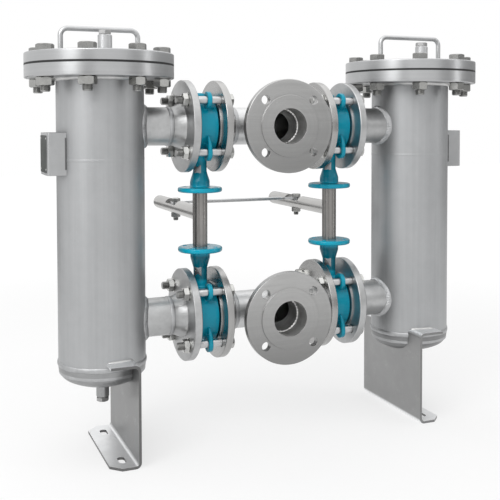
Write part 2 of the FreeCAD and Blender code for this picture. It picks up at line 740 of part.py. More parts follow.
def tie_rod():
    # A round rod with both ends forged flat into eyes. The left eye is the running pivot, and the
    # right one, where the linkage's loop is left open, has the wider clearance.
    pieces = []
    holes = []
    round_half = valve_x - tie_flat_length - tie_neck_length
    for side in SIDES.values():
        pin_x = side * valve_x
        flat_end_x = side * (valve_x - tie_flat_length)
        eye_centre = V(pin_x, link_pin_y, tie_eye_bottom_z)
        outline = [V(pin_x, link_pin_y - tie_eye_r, tie_eye_bottom_z),
                   V(flat_end_x, link_pin_y - tie_rod_r, tie_eye_bottom_z),
                   V(flat_end_x, link_pin_y + tie_rod_r, tie_eye_bottom_z),
                   V(pin_x, link_pin_y + tie_eye_r, tie_eye_bottom_z)]
        pieces.append(polygon_face(outline).extrude(Z_AXIS * tie_eye_thickness))
        pieces.append(cylinder(tie_eye_r, eye_centre, Z_AXIS, tie_eye_thickness))
        corners = [V(flat_end_x, link_pin_y + y * tie_rod_r, z)
                   for y, z in ((-1, tie_eye_bottom_z), (1, tie_eye_bottom_z),
                                (1, tie_eye_top_z), (-1, tie_eye_top_z))]
        flat_end = Part.makePolygon(corners + [corners[0]])
        round_end = Part.Wire([Part.makeCircle(tie_rod_r, V(side * round_half, link_pin_y, tie_axis_z),
                                               X_AXIS)])
        pieces.append(Part.makeLoft([flat_end, round_end], True, True))
        clearance = running_clearance if side < 0 else link_gap
        holes.append(cylinder(link_bolt_r + clearance, eye_centre - Z_AXIS * OVERSHOOT, Z_AXIS,
                              tie_eye_thickness + 2 * OVERSHOOT))
    pieces.append(cylinder(tie_rod_r, V(-round_half, link_pin_y, tie_axis_z), X_AXIS, 2 * round_half))
    rod = fused(pieces)
    for hole in holes:
        rod = rod.cut(hole)
    return rod


def cover_bolts():
    bolts = []
    length = cover_top_z - body_flange_bottom_z + cover_nut_height + cover_bolt_end
    for side in SIDES.values():
        for x, y in cover_bolt_places:
            bolts.append(hex_bolt(V(side * vessel_x + x, y, cover_top_z), -Z_AXIS, cover_bolt_dia,
                                  cover_bolt_af, cover_bolt_head, length))
    return bolts


def cover_nuts():
    return [hex_nut(V(side * vessel_x + x, y, body_flange_bottom_z), -Z_AXIS, cover_bolt_dia,
                    cover_bolt_af, cover_nut_height)
            for side in SIDES.values() for x, y in cover_bolt_places]


def flange_fasteners():
    # Every head is on the +X side of its joint, and every nut on the -X side.
    bolts = []
    nuts = []
    grip = valve_face_to_face + 2 * flange_thickness
    for side in SIDES.values():
        head_x = side * valve_x + grip / 2
        nut_x = side * valve_x - grip / 2
        for axis_z in LEVELS.values():
            for y, z in flange_bolt_places:
                bolts.append(hex_bolt(V(head_x, y, axis_z + z), -X_AXIS, flange_bolt_dia, flange_bolt_af,
                                      flange_bolt_head, grip + flange_nut_height + flange_bolt_end))
                nuts.append(hex_nut(V(nut_x, y, axis_z + z), -X_AXIS, flange_bolt_dia, flange_bolt_af,
                                    flange_nut_height))
    return bolts, nuts


def export(name, shape):
    if isinstance(shape, list):
        shape = Part.makeCompound(shape)
    if not shape.isValid():
        print("not valid:", name)
    shape.exportStep("parts/" + name + ".step")
    print(name, len(shape.Solids), round(shape.Volume))


def main():
    os.makedirs("parts", exist_ok=True)
    vessel_pieces = {"shell": shell, "bottom_cap": bottom_cap, "body_flange": body_flange,
                     "seat_ring": seat_ring, "basket": basket, "cover": cover,
                     "cover_handle": cover_handle, "vent_coupling": vent_coupling,
                     "drain_coupling": drain_coupling, "leg": leg,
                     "nameplate_bracket": nameplate_bracket}
    valve_body = valve_body_upright()
    valve_liner = valve_liner_upright()
    valve_disc = valve_disc_upright()
    valve_stem = valve_stem_upright()
    liners = []
    for side_name, side in SIDES.items():
        for piece_name, make in vessel_pieces.items():
            export(side_name + "_" + piece_name, make(side))
        export(side_name + "_shaft", shaft(side))
        export(side_name + "_lever", lever(side))
        export(side_name + "_link_bolt", link_bolt(side))
        export(side_name + "_link_nut", link_nut(side))
        for level, axis_z in LEVELS.items():
            prefix = level + "_" + side_name
            export(prefix + "_nozzle", nozzle(side, axis_z))
            export(prefix + "_valve_body", placed_valve_piece(valve_body, side, level))
            export(prefix + "_disc", placed_valve_piece(valve_disc, side, level, disc_turn(side, level)))
            export(prefix + "_stem", placed_valve_piece(valve_stem, side, level))
            liners.append(placed_valve_piece(valve_liner, side, level))
    for level, axis_z in LEVELS.items():
        export(level + "_tee", tee(axis_z))
        export(level + "_branch_flange", header_flange(V(0, branch_face_y, axis_z), -90))
        run_flanges = [header_flange(V(side * header_face_x, 0, axis_z), 90 - side * 90)
                       for side in SIDES.values()]
        export(level + "_run_flanges", run_flanges)
    bolts, nuts = flange_fasteners()
    export("flange_bolts", bolts)
    export("flange_nuts", nuts)
    export("cover_bolts", cover_bolts())
    export("cover_nuts", cover_nuts())
    export("cover_gaskets", cover_gaskets())
    export("screw_plugs", screw_plugs())
    export("valve_liners", liners)
    export("tie_rod", tie_rod())


main()
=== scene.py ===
import math
import bmesh
import bpy
import numpy as np
from mathutils import Matrix, Vector


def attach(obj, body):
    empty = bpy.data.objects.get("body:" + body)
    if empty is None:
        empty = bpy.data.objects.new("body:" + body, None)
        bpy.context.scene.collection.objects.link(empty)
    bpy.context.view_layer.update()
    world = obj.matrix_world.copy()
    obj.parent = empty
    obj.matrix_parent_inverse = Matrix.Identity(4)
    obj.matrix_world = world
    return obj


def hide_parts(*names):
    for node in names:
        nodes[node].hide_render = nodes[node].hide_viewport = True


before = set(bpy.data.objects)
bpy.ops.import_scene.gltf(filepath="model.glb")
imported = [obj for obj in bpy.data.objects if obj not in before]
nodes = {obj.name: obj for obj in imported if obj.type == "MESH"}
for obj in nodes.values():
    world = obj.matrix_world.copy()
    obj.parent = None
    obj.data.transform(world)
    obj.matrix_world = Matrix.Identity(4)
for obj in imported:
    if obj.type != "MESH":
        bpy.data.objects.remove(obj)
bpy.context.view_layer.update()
sides = {"left": -1.0, "right": 1.0}
levels = {"upper": 0.633, "lower": 0.253}   # heights of the two header axes
vesselX = 0.34915
valveX = 0.147
print("frame loaded:", len(nodes), "nodes")

def link(thing):
    bpy.context.scene.collection.objects.link(thing)
    return thing

# where the photograph was taken from: angles in degrees, focal length and horizon in pixels of its frame
photoCamera = {"place": (-0.6963, -1.6238, 0.6382), "yaw": 22.095, "pitch": 2.131, "roll": -0.130,
               "focal": 845.1, "horizon": 155.0, "pixels": 500, "sensor": 36.0}

def makeCamera(place, yaw, pitch, roll, focal, horizon, pixels, sensor):
    yaw, pitch, roll = math.radians(yaw), math.radians(pitch), math.radians(roll)
    forward = Vector((math.sin(yaw) * math.cos(pitch), math.cos(yaw) * math.cos(pitch), -math.sin(pitch)))
    right = Vector((math.cos(yaw), -math.sin(yaw), 0.0))
    up = right.cross(forward)
    right, up = right * math.cos(roll) + up * math.sin(roll), up * math.cos(roll) - right * math.sin(roll)
    data = bpy.data.cameras.new("photoCamera")
    data.sensor_width = sensor
    data.lens = focal / pixels * sensor
    data.shift_y = horizon / pixels - 0.5
    data.clip_start, data.clip_end = 0.05, 100.0
    camera = link(bpy.data.objects.new("photoCamera", data))
    camera.matrix_world = Matrix.Translation(place) @ Matrix((right, up, -forward)).transposed().to_4x4()
    bpy.context.scene.camera = camera

makeCamera(**photoCamera)
bpy.context.scene.view_settings.view_transform = "Standard"
print("camera placed")

# node writing: an input is a number, a colour or a node's output, and a new node joins the tree of its inputs
def feed(socket, value):
    if isinstance(value, bpy.types.NodeSocket):
        socket.id_data.links.new(value, socket)
    else:
        socket.default_value = value

def newNode(kind, *inputs):
    return next(value.id_data for value in inputs if isinstance(value, bpy.types.NodeSocket)).nodes.new(kind)

def addNode(kind, settings=None, **inputs):
    # an input is named by its label, or by at and its number
    node = newNode(kind, *inputs.values())
    for key, value in (settings or {}).items():
        setattr(node, key, value)
    for key, value in inputs.items():
        feed(node.inputs[int(key[2:]) if key.startswith("at") else key.replace("_", " ")], value)
    return node

def mathNode(operation, first, second=0.0):
    return addNode("ShaderNodeMath", {"operation": operation}, at0=first, at1=second).outputs[0]

def times(first, second):
    return mathNode("MULTIPLY", first, second)

def plus(first, second):
    return mathNode("ADD", first, second)

def vectorNode(operation, *inputs):
    node = newNode("ShaderNodeVectorMath", *inputs)
    node.operation = operation
    for socket, value in zip(node.inputs, inputs):
        feed(socket, value)
    return node.outputs["Value" if operation in ("LENGTH", "DOT_PRODUCT") else "Vector"]

def ramp(value, start, end, low=0.0, high=1.0, smooth=False):
    # carries a value from start-end to low-high
    return addNode("ShaderNodeMapRange", {"interpolation_type": "SMOOTHSTEP" if smooth else "LINEAR"},
                   Value=value, From_Min=start, From_Max=end, To_Min=low, To_Max=high).outputs[0]

def spread(value, low, high):
    return ramp(value, 0.0, 1.0, low, high)

def noise(place, scale, detail, rough=0.5, flat=False):
    return addNode("ShaderNodeTexNoise", {"noise_dimensions": "2D" if flat else "3D"}, Vector=place,
                   Scale=scale, Detail=detail, Roughness=rough).outputs[0]

def partOf(place, axis):
    return addNode("ShaderNodeSeparateXYZ", Vector=place).outputs[axis]

def blendColour(share, first, second):
    node = addNode("ShaderNodeMix", {"data_type": "RGBA"}, at0=share)
    for socket, value in ((node.inputs[6], first), (node.inputs[7], second)):
        feed(socket, (*value, 1.0) if isinstance(value, tuple) else value)
    return node.outputs[2]

def overlay(base, mask, amount, colour):
    # the colour covers the base by the amount where the mask is 1
    return blendColour(times(mask, amount), base, colour)

def zone(value, low, high, soft):
    # 1 between low and high, fading over soft on either side
    rise = ramp(value, low - soft, low + soft, smooth=True)
    return times(rise, ramp(value, high - soft, high + soft, 1.0, 0.0, smooth=True))

def scaled(colour, factor):
    return tuple(min(1.0, factor * part) for part in colour)

def newGroup(name, inputs, outputs):
    # inputs are names with their usual number or vector, outputs are names of numbers
    tree = bpy.data.node_groups.new(name, "ShaderNodeTree")
    for label, value in inputs.items():
        kind = "NodeSocketVector" if isinstance(value, tuple) else "NodeSocketFloat"
        tree.interface.new_socket(name=label, in_out="INPUT", socket_type=kind).default_value = value
    for label in outputs:
        tree.interface.new_socket(name=label, in_out="OUTPUT", socket_type="NodeSocketFloat")
    return tree, tree.nodes.new("NodeGroupInput").outputs, tree.nodes.new("NodeGroupOutput").inputs

def useGroup(group, **inputs):
    return addNode("ShaderNodeGroup", {"node_tree": group}, **inputs).outputs

origin = (0.0, 0.0, 0.0)

def blastGroup():
    # fine grain of a blasted skin over a slow cloudiness
    tree, given, out = newGroup("blastedSkin", {"Place": origin, "Grain": 1500.0, "Cloud": 9.0},
                                ("Tone", "Grit", "Height"))
    grain = noise(given["Place"], given["Grain"], 3.0, 0.6)
    cloud = noise(given["Place"], given["Cloud"], 4.0, 0.55)
    patch = noise(given["Place"], times(given["Cloud"], 6.0), 3.0)
    tone = plus(times(cloud, 0.7), times(patch, 0.3))
    feed(out["Tone"], ramp(tone, 0.3, 0.7))
    feed(out["Grit"], grain)
    feed(out["Height"], plus(grain, times(patch, 0.6)))
    return tree

def turnedGroup():
    # rings about an axis: Across is 1 on the two directions square to it
    tree, given, out = newGroup("turnedMarks", {"Place": origin, "Centre": origin, "Across": (1.0, 1.0, 0.0),
                                                "Marks": 1400.0}, ("Tone", "Height"))
    away = vectorNode("SUBTRACT", given["Place"], given["Centre"])
    flat = vectorNode("MULTIPLY", away, given["Across"])
    depth = vectorNode("DOT_PRODUCT", vectorNode("SUBTRACT", away, flat), (1.0, 1.0, 1.0))
    spot = addNode("ShaderNodeCombineXYZ", X=vectorNode("LENGTH", flat), Y=depth).outputs[0]
    marks = noise(spot, given["Marks"], 2.0, 0.7, flat=True)
    bands = noise(spot, times(given["Marks"], 0.12), 2.0, flat=True)
    feed(out["Tone"], plus(times(marks, 0.4), times(bands, 0.6)))
    feed(out["Height"], marks)
    return tree

def drawnGroup():
    # long streaks: Stretch squeezes the pattern along the drawing direction
    tree, given, out = newGroup("drawnStreaks", {"Place": origin, "Stretch": (1.0, 1.0, 0.03),
                                                 "Marks": 900.0}, ("Tone", "Height"))
    spot = vectorNode("MULTIPLY", given["Place"], given["Stretch"])
    fine = noise(spot, given["Marks"], 3.0, 0.65)
    broad = noise(spot, times(given["Marks"], 0.22), 2.0)
    feed(out["Tone"], plus(times(fine, 0.5), times(broad, 0.5)))
    feed(out["Height"], fine)
    return tree

def scuffGroup():
    # thin random scratches, and a little settled dust on faces that look up
    tree, given, out = newGroup("scuffsAndDust", {"Place": origin, "Normal": origin, "Length": 60.0},
                                ("Scuff", "Dust"))
    warp = addNode("ShaderNodeTexNoise", Vector=given["Place"], Scale=14.0, Detail=2.0).outputs["Color"]
    spot = vectorNode("MULTIPLY_ADD", warp, (0.35, 0.35, 0.35), given["Place"])
    wave = addNode("ShaderNodeTexWave", {"wave_type": "BANDS", "bands_direction": "DIAGONAL"}, Vector=spot,
                   Scale=given["Length"], Distortion=9.0, Detail=2.0, Detail_Scale=2.0).outputs[1]
    gate = ramp(noise(given["Place"], 33.0, 1.0), 0.55, 0.68)
    feed(out["Scuff"], times(ramp(wave, 0.985, 1.0), gate))
    facingUp = ramp(partOf(given["Normal"], "Z"), 0.6, 1.0)
    fluff = ramp(noise(given["Place"], 45.0, 6.0, 0.7), 0.4, 0.75)
    feed(out["Dust"], times(facingUp, fluff))
    return tree

blasted, turned, drawn, scuffed = blastGroup(), turnedGroup(), drawnGroup(), scuffGroup()
dustColour = (0.36, 0.34, 0.31)
dustShare = 0.10

def startMaterial(name):
    material = bpy.data.materials.new(name)
    material.use_nodes = True
    tree = material.node_tree
    place = tree.nodes.new("ShaderNodeTexCoord").outputs["Object"]
    return material, tree.nodes["Principled BSDF"].inputs, place

def wearOn(place):
    # the scratches and dust of a piece, from its place and the way its skin faces
    normal = place.id_data.nodes.new("ShaderNodeNewGeometry").outputs["Normal"]
    return useGroup(scuffed, Place=place, Normal=normal)

def finishMaterial(shader, base, roughness, height, relief, metallic=1.0):
    feed(shader["Base Color"], base)
    feed(shader["Roughness"], roughness)
    feed(shader["Normal"], addNode("ShaderNodeBump", Height=height, Strength=1.0, Distance=relief).outputs[0])
    feed(shader["Metallic"], metallic)

def makeSteel(name, dark, light, rough, grain=1500.0, cloud=9.0, relief=0.00002, streaks=None, stand=None,
              slit=None):
    # blasted or pickled steel: colour and roughness run between their two ends with the cloudiness and grain
    material, shader, place = startMaterial(name)
    skin = useGroup(blasted, Place=place, Grain=grain, Cloud=cloud)
    marks = wearOn(place)
    tone = skin["Tone"]
    if streaks:
        lines = useGroup(drawn, Place=place, Stretch=streaks, Marks=150.0)
        tone = plus(times(tone, 0.55), spread(lines["Tone"], -0.55, 1.0))
    base = blendColour(tone, dark, light)
    if stand:   # painted shade: the upright web between these heights is painted darker than the feet and lips, whose tops face the light from above
        base = blendColour(zone(partOf(place, "Z"), *stand[:3]), base, blendColour(tone, *stand[3:]))
    base = overlay(base, marks["Scuff"], 0.35, scaled(light, 1.25))
    base = overlay(base, marks["Dust"], dustShare, dustColour)
    if slit:   # painted shadow of the open gap between a bracket's cheek and the shell, a dark line: across the sides, then up
        outward = mathNode("ABSOLUTE", partOf(place, "X"))
        gap = times(zone(outward, *slit[0]), zone(partOf(place, "Z"), *slit[1]))
        base = overlay(base, gap, 0.72, (0.03, 0.03, 0.03))
    roughness = plus(spread(skin["Grit"], *rough), times(marks["Dust"], 0.12))
    roughness = plus(roughness, times(marks["Scuff"], -0.08))
    finishMaterial(shader, base, roughness, skin["Height"], relief)
    return material

def makeTurned(name, dark, light, rough, centre, across, marks=1400.0, brushed=None, joint=None, fade=None):
    # lathe rings about an axis
    material, shader, place = startMaterial(name)
    rings = useGroup(turned, Place=place, Centre=centre, Across=across, Marks=marks)
    skin = useGroup(blasted, Place=place, Grain=700.0, Cloud=14.0)
    wear = wearOn(place)
    base = blendColour(rings["Tone"], dark, light)
    base = overlay(base, skin["Tone"], 0.3, dark)
    if brushed:
        lines = useGroup(drawn, Place=place, Stretch=brushed, Marks=380.0)
        base = blendColour(spread(lines["Tone"], -0.35, 0.75), base, scaled(dark, 0.72))
    base = overlay(base, wear["Scuff"], 0.4, scaled(light, 1.3))
    base = overlay(base, wear["Dust"], dustShare, dustColour)
    if fade:   # painted shade: the low side of the face, away from the light above, is painted darker
        base = blendColour(ramp(partOf(place, "Z"), *fade, 0.0), base, scaled(dark, 0.5))
    if joint:   # painted shadow along the gasket gap
        base = overlay(base, zone(partOf(place, "Z"), *joint), 0.9, (0.02, 0.02, 0.02))
    roughness = plus(spread(rings["Tone"], *rough), times(skin["Tone"], 0.06))
    roughness = plus(roughness, times(wear["Dust"], 0.10))
    finishMaterial(shader, base, roughness, rings["Height"], 0.00001)
    return material

def makeDrawn(name, dark, light, rough, stretch, marks=900.0, relief=0.00001):
    # bar with streaks along its length
    material, shader, place = startMaterial(name)
    streaks = useGroup(drawn, Place=place, Stretch=stretch, Marks=marks)
    skin = useGroup(blasted, Place=place, Grain=800.0, Cloud=20.0)
    base = overlay(blendColour(streaks["Tone"], dark, light), skin["Tone"], 0.25, dark)
    roughness = plus(spread(streaks["Tone"], *rough), times(skin["Tone"], 0.05))
    finishMaterial(shader, base, roughness, streaks["Height"], relief)
    return material

def makeEnamel(name, colour, deep, ears, necks):
    # sprayed enamel over a casting: orange peel, dust and paler worn spots, with painted shade where it turns
    # away, on the bolt ears and on the necks
    material, shader, place = startMaterial(name)
    skin = useGroup(blasted, Place=place, Grain=650.0, Cloud=16.0)
    wear = wearOn(place)
    base = blendColour(skin["Tone"], deep, colour)
    base = overlay(base, wear["Scuff"], 0.25, tuple(min(1.0, 1.5 * part + 0.03) for part in colour))
    base = overlay(base, wear["Dust"], 0.18, (0.30, 0.33, 0.33))
    facing = material.node_tree.nodes.new("ShaderNodeLayerWeight").outputs["Facing"]
    # painted shade: the enamel is painted darker where its surface turns away from the view
    base = overlay(base, mathNode("POWER", facing, 1.6), 0.75, scaled(deep, 0.22))
    outward = mathNode("ABSOLUTE", partOf(place, "Y"))
    # painted shade: the bolt ears, between these distances from the axis, are painted darker
    base = overlay(base, zone(outward, *ears[:2], 0.004), ears[2], scaled(deep, 0.25))
    for low, high, share in necks:   # painted shade: the necks beside the top flanges are painted darker
        base = overlay(base, zone(partOf(place, "Z"), low, high, 0.004), share, scaled(deep, 0.25))
    finishMaterial(shader, base, spread(skin["Grit"], 0.30, 0.42), skin["Height"], 0.00006, metallic=0.0)
    gloss = {"Specular IOR Level": 0.15, "Specular Tint": (0.25, 0.8, 1.0, 1.0), "Coat Weight": 0.5,
             "Coat Roughness": 0.06, "IOR": 1.5}
    for label, value in gloss.items():
        feed(shader[label], value)
    return material

def makeSoft(name, dark, light, rough, grain=900.0):
    # rubber and gasket sheet
    material, shader, place = startMaterial(name)
    skin = useGroup(blasted, Place=place, Grain=grain, Cloud=30.0)
    wear = wearOn(place)
    base = overlay(blendColour(skin["Tone"], dark, light), wear["Dust"], 0.35, (0.16, 0.155, 0.15))
    finishMaterial(shader, base, spread(skin["Grit"], *rough), skin["Height"], 0.00003, metallic=0.0)
    return material

pipeSkin = {"rough": (0.34, 0.48), "grain": 1100.0, "cloud": 22.0}
fastener = {"grain": 900.0, "cloud": 60.0, "relief": 0.00001}
vesselSteel = makeSteel("blastedVesselSteel", (0.375, 0.381, 0.387), (0.465, 0.471, 0.477), (0.42, 0.56),
                        streaks=(1.0, 1.0, 0.02))
pipeSteel = makeSteel("pickledPipeSteel", (0.39, 0.393, 0.394), (0.53, 0.534, 0.535), **pipeSkin)
# painted light: the header tees get a lighter copy of the pipe steel, which stands in for light in the shade
# of the flanges
headerSteel = makeSteel("headerPipePaintedLightSteel", (0.51, 0.513, 0.514), (0.67, 0.674, 0.675), **pipeSkin)

# painted light and shade: the two sides get differently lit copies of the greys of the legs' webs, the dished
# ends and the sawn edges
sideGreys = {"left": (0.235, 0.25, 0.13), "right": (0.31, 0.185, 0.20)}
plateSteel, capSteel, cutSteel = {}, {}, {}
for side, (web, cap, cut) in sideGreys.items():
    webGrey, cutGrey = (web, web, web), (cut, cut, cut)
    # painted shade of the web: the heights where it starts and ends, the softness, and its two greys
    stand = (0.0085, 0.1855, 0.003, webGrey, scaled(webGrey, 1.16))
    plateSteel[side] = makeSteel(side + "PlateSteel", (0.82, 0.828, 0.836), (0.92, 0.928, 0.936),
                                 (0.34, 0.46), grain=1300.0, cloud=7.0, relief=0.00001, stand=stand)
    capSteel[side] = makeSteel(side + "DishedEndSteel", (cap, 1.01 * cap, 1.018 * cap),
                               (1.6 * cap, 1.615 * cap, 1.628 * cap), (0.34, 0.48), grain=1300.0, cloud=12.0,
                               streaks=(0.25, 0.25, 1.6))
    cutSteel[side] = makeDrawn(side + "CutEdgeAndShadeSteel", cutGrey, scaled(cutGrey, 1.6), (0.36, 0.50),
                               (1.0, 1.0, 1.0), marks=500.0)

innerSteel = makeSteel("innerSteel", (0.30, 0.31, 0.32), (0.38, 0.39, 0.40), (0.34, 0.46))
castSteel = makeSteel("polishedDiscSteel", (0.34, 0.35, 0.36), (0.42, 0.43, 0.44), (0.22, 0.34), grain=600.0,
                      cloud=20.0)
brightRod = makeDrawn("drawnBrightRod", (0.42, 0.425, 0.43), (0.58, 0.585, 0.59), (0.22, 0.34),
                      (1.0, 1.0, 1.0), marks=300.0)
shaftSteel = makeDrawn("brushedShaftSteel", (0.09, 0.086, 0.081), (0.465, 0.45, 0.435), (0.18, 0.32),
                       (1.0, 1.0, 0.015), marks=420.0, relief=0.00003)
leverSteel = makeDrawn("leverBarSteel", (0.36, 0.355, 0.345), (0.66, 0.654, 0.64), (0.20, 0.34),
                       (1.0, 0.03, 1.0), marks=420.0)
boltSteel = makeSteel("boltSteel", (0.39, 0.39, 0.38), (0.56, 0.56, 0.54), (0.18, 0.30), **fastener)
threadSteel = makeSteel("threadSteel", (0.27, 0.27, 0.265), (0.40, 0.40, 0.39), (0.28, 0.42), **fastener)
nutSteel = makeSteel("nutSteel", (0.41, 0.41, 0.40), (0.57, 0.57, 0.555), (0.12, 0.22), **fastener)
coverHeadSteel = makeSteel("coverHeadSteel", (0.24, 0.24, 0.235), (0.36, 0.36, 0.35), (0.22, 0.34),
                           **fastener)
coverNutSteel = makeSteel("coverNutSteel", (0.33, 0.33, 0.32), (0.47, 0.47, 0.455), (0.14, 0.24), **fastener)
plugSteel = makeSteel("plugSteel", (0.30, 0.30, 0.30), (0.42, 0.42, 0.42), (0.30, 0.42), grain=900.0,
                      cloud=60.0)
weldSteel = makeSteel("weldSteel", (0.44, 0.44, 0.44), (0.60, 0.60, 0.59), (0.30, 0.44), grain=700.0,
                      cloud=60.0, relief=0.00004)
rootSteel = makeSteel("rootSteel", (0.38, 0.385, 0.39), (0.50, 0.505, 0.51), (0.44, 0.56), grain=800.0,
                      cloud=40.0, relief=0.00006)
# painted light: the bore is painted much brighter than the pipe steel, standing in for light that reaches
# inside the branch
boreSteel = makeSteel("boreSteel", (0.62, 0.618, 0.61), (0.78, 0.778, 0.77), (0.42, 0.56), grain=900.0,
                      cloud=60.0, relief=0.00004)
# painted shadow of the gap between each bracket cheek and the shell: |x| from, to, softness, then height
# from, to, softness
cheekSlit = ((0.4206, 0.4250, 0.0005), (0.5525, 0.6125, 0.001))
bracketSteel = makeSteel("bracketSteel", (0.38, 0.384, 0.388), (0.47, 0.475, 0.48), (0.34, 0.46),
                         grain=1300.0, relief=0.00001, slit=cheekSlit)
plateGrey = makeSteel("etchedPlate", (0.15, 0.153, 0.154), (0.25, 0.253, 0.254), (0.34, 0.44), grain=1400.0,
                      cloud=20.0)
plateGrey.node_tree.nodes["Principled BSDF"].inputs["Specular Tint"].default_value = (0.36, 0.37, 0.36, 1.0)
tagSteel = makeSteel("tagSteel", (0.25, 0.255, 0.262), (0.36, 0.365, 0.375), (0.34, 0.44), grain=1400.0,
                     cloud=20.0)
# painted shade of the enamel: the |y| band of the bolt ears with its share, then the height bands of the
# necks with their shares
tealEnamel = makeEnamel("tealEnamel", (0.004, 0.46, 0.64), (0.002, 0.38, 0.55), (0.045, 0.090, 0.22),
                        ((0.322, 0.372, 0.84), (0.515, 0.562, 0.45)))
blackRubber = makeSoft("blackRubber", (0.014, 0.014, 0.014), (0.028, 0.028, 0.028), (0.45, 0.60))
blackGasket = makeSoft("blackGasket", (0.008, 0.008, 0.008), (0.018, 0.018, 0.018), (0.6, 0.8), grain=1600.0)
print("materials made")

def paint(material, *names):
    for name in names:
        mesh = nodes[name].data
        mesh.materials.clear()
        mesh.materials.append(material)
        mesh.shade_smooth()
        mesh.set_sharp_from_angle(angle=math.radians(32))

for side, sign in sides.items():
    upright = {"centre": (sign * vesselX, 0.0, 0.0), "across": (1.0, 1.0, 0.0)}
    # painted shadow along each cover's gasket gap: heights and softness
    paint(makeTurned(side + "CoverSteel", (0.39, 0.395, 0.40), (0.535, 0.54, 0.545), (0.24, 0.34),
                     joint=(0.7484, 0.7526, 0.0004), **upright), side + "_cover", side + "_body_flange")
    paint(makeTurned(side + "VentSteel", (0.48, 0.485, 0.49), (0.62, 0.625, 0.63), (0.34, 0.46),
                     (sign * vesselX, -0.046, 0.0), (1.0, 1.0, 0.0)), side + "_vent_coupling")
    paint(makeTurned(side + "DrainSteel", (0.28, 0.283, 0.286), (0.42, 0.424, 0.427), (0.26, 0.38),
                     **upright), side + "_drain_coupling")
    sidePaint = {"shell": vesselSteel, "bottom_cap": capSteel[side], "seat_ring": innerSteel,
                 "basket": innerSteel, "cover_handle": brightRod, "leg": plateSteel[side],
                 "nameplate_bracket": bracketSteel, "shaft": shaftSteel, "lever": leverSteel,
                 "link_bolt": boltSteel, "link_nut": boltSteel}
    for name, material in sidePaint.items():
        paint(material, side + "_" + name)
for level, height in levels.items():
    paint(pipeSteel, level + "_left_nozzle", level + "_right_nozzle")
    paint(headerSteel, level + "_tee")
    # painted shade: how much the low side of each branch flange face is darkened
    dulling = 0.62 if level == "upper" else 0.82
    paint(makeTurned(level + "BranchSteel", (0.41, 0.409, 0.405), (0.58, 0.579, 0.574), (0.24, 0.38),
                     (0.0, 0.0, height), (1.0, 0.0, 1.0), marks=1000.0, brushed=(0.03, 1.0, 1.0),
                     fade=(height - 0.08, height + 0.07, dulling)), level + "_branch_flange")
    paint(makeTurned(level + "RunSteel", (0.32, 0.318, 0.314), (0.46, 0.458, 0.452), (0.18, 0.30),
                     (0.0, 0.0, height), (0.0, 1.0, 1.0)), level + "_run_flanges")
    for side in sides:
        valve = level + "_" + side
        paint(castSteel, valve + "_disc", valve + "_stem")
        paint(tealEnamel, valve + "_valve_body")
paint(boltSteel, "flange_bolts", "flange_nuts", "cover_bolts", "cover_nuts", "screw_plugs")
paint(blackGasket, "cover_gaskets")
paint(blackRubber, "valve_liners")
paint(brightRod, "tie_rod")

# sharp machined and cut edges get the small round they have on real pieces, and flat faces stay flat
def easeEdges(width, *names):
    for name in names:
        modifiers = nodes[name].modifiers
        modifiers.new("joinPoints", "WELD").merge_threshold = 0.000002
        flats = modifiers.new("joinFlats", "DECIMATE")
        flats.decimate_type, flats.angle_limit = "DISSOLVE", math.radians(0.5)
        ease = modifiers.new("easeEdges", "BEVEL")
        ease.width, ease.segments, ease.limit_method, ease.angle_limit = width, 2, "ANGLE", math.radians(38)
        ease.use_clamp_overlap = True
        keep = modifiers.new("keepFlat", "WEIGHTED_NORMAL")
        keep.weight, keep.keep_sharp = 100, False

for side in sides:
    easeEdges(0.0009, side + "_cover", side + "_body_flange")
    easeEdges(0.0005, side + "_leg", side + "_nameplate_bracket")
for level in levels:
    easeEdges(0.0007, level + "_branch_flange", level + "_run_flanges", level + "_left_nozzle",
              level + "_right_nozzle")

# the sawn edges of folded plate are darker than its rolled skin; the dark on the walls of the slots is partly
# painted shade
def isLegEdge(normal, centre):
    away = np.abs(normal)
    outerEnd = (away[:, 2] < 0.5) & (np.abs(centre[:, 0]) > 0.3125)   # beyond the fold
    return (centre[:, 2] < 0.180) & ((away[:, 1] > 0.6) | outerEnd)

def isBracketEdge(normal, centre):
    return np.abs(normal[:, 2]) > 0.6

def paintCutEdges(side, name, isCut):
    mesh = nodes[side + "_" + name].data
    normal, centre = np.empty((2, len(mesh.polygons) * 3), np.float32)
    mesh.polygons.foreach_get("normal", normal)
    mesh.polygons.foreach_get("center", centre)
    mesh.materials.append(cutSteel[side])
    cut = isCut(normal.reshape(-1, 3), centre.reshape(-1, 3))
    mesh.polygons.foreach_set("material_index", cut.astype(np.int32))

for side in sides:
    paintCutEdges(side, "leg", isLegEdge)
    paintCutEdges(side, "nameplate_bracket", isBracketEdge)
print("frame painted")

# new pieces are grids of points, worked out as whole arrays and then joined into quads, each row into a ring
def gridFaces(rows, columns, start, closed):
    index = np.arange(rows * columns).reshape(rows, columns) + start
    if closed:
        index = np.vstack([index, index[:1]])
    index = np.hstack([index, index[:, :1]])
    return np.stack([index[:-1, :-1], index[1:, :-1], index[1:, 1:], index[:-1, 1:]], -1).reshape(-1, 4)

# a patch is a grid, whether its last row joins the first, and which of the piece's materials it has
def tube(grid, which=0):
    return grid, False, which

def hoop(grid):
    return grid, True, 0

def addPiece(name, mesh, stands=(), body="frame"):
    piece = link(bpy.data.objects.new(name, mesh))
    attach(piece, body)
    if stands:
        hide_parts(*stands)

def joinPoints(mesh):
    work = bmesh.new()
    work.from_mesh(mesh)
    bmesh.ops.remove_doubles(work, verts=work.verts, dist=1e-6)
    return work

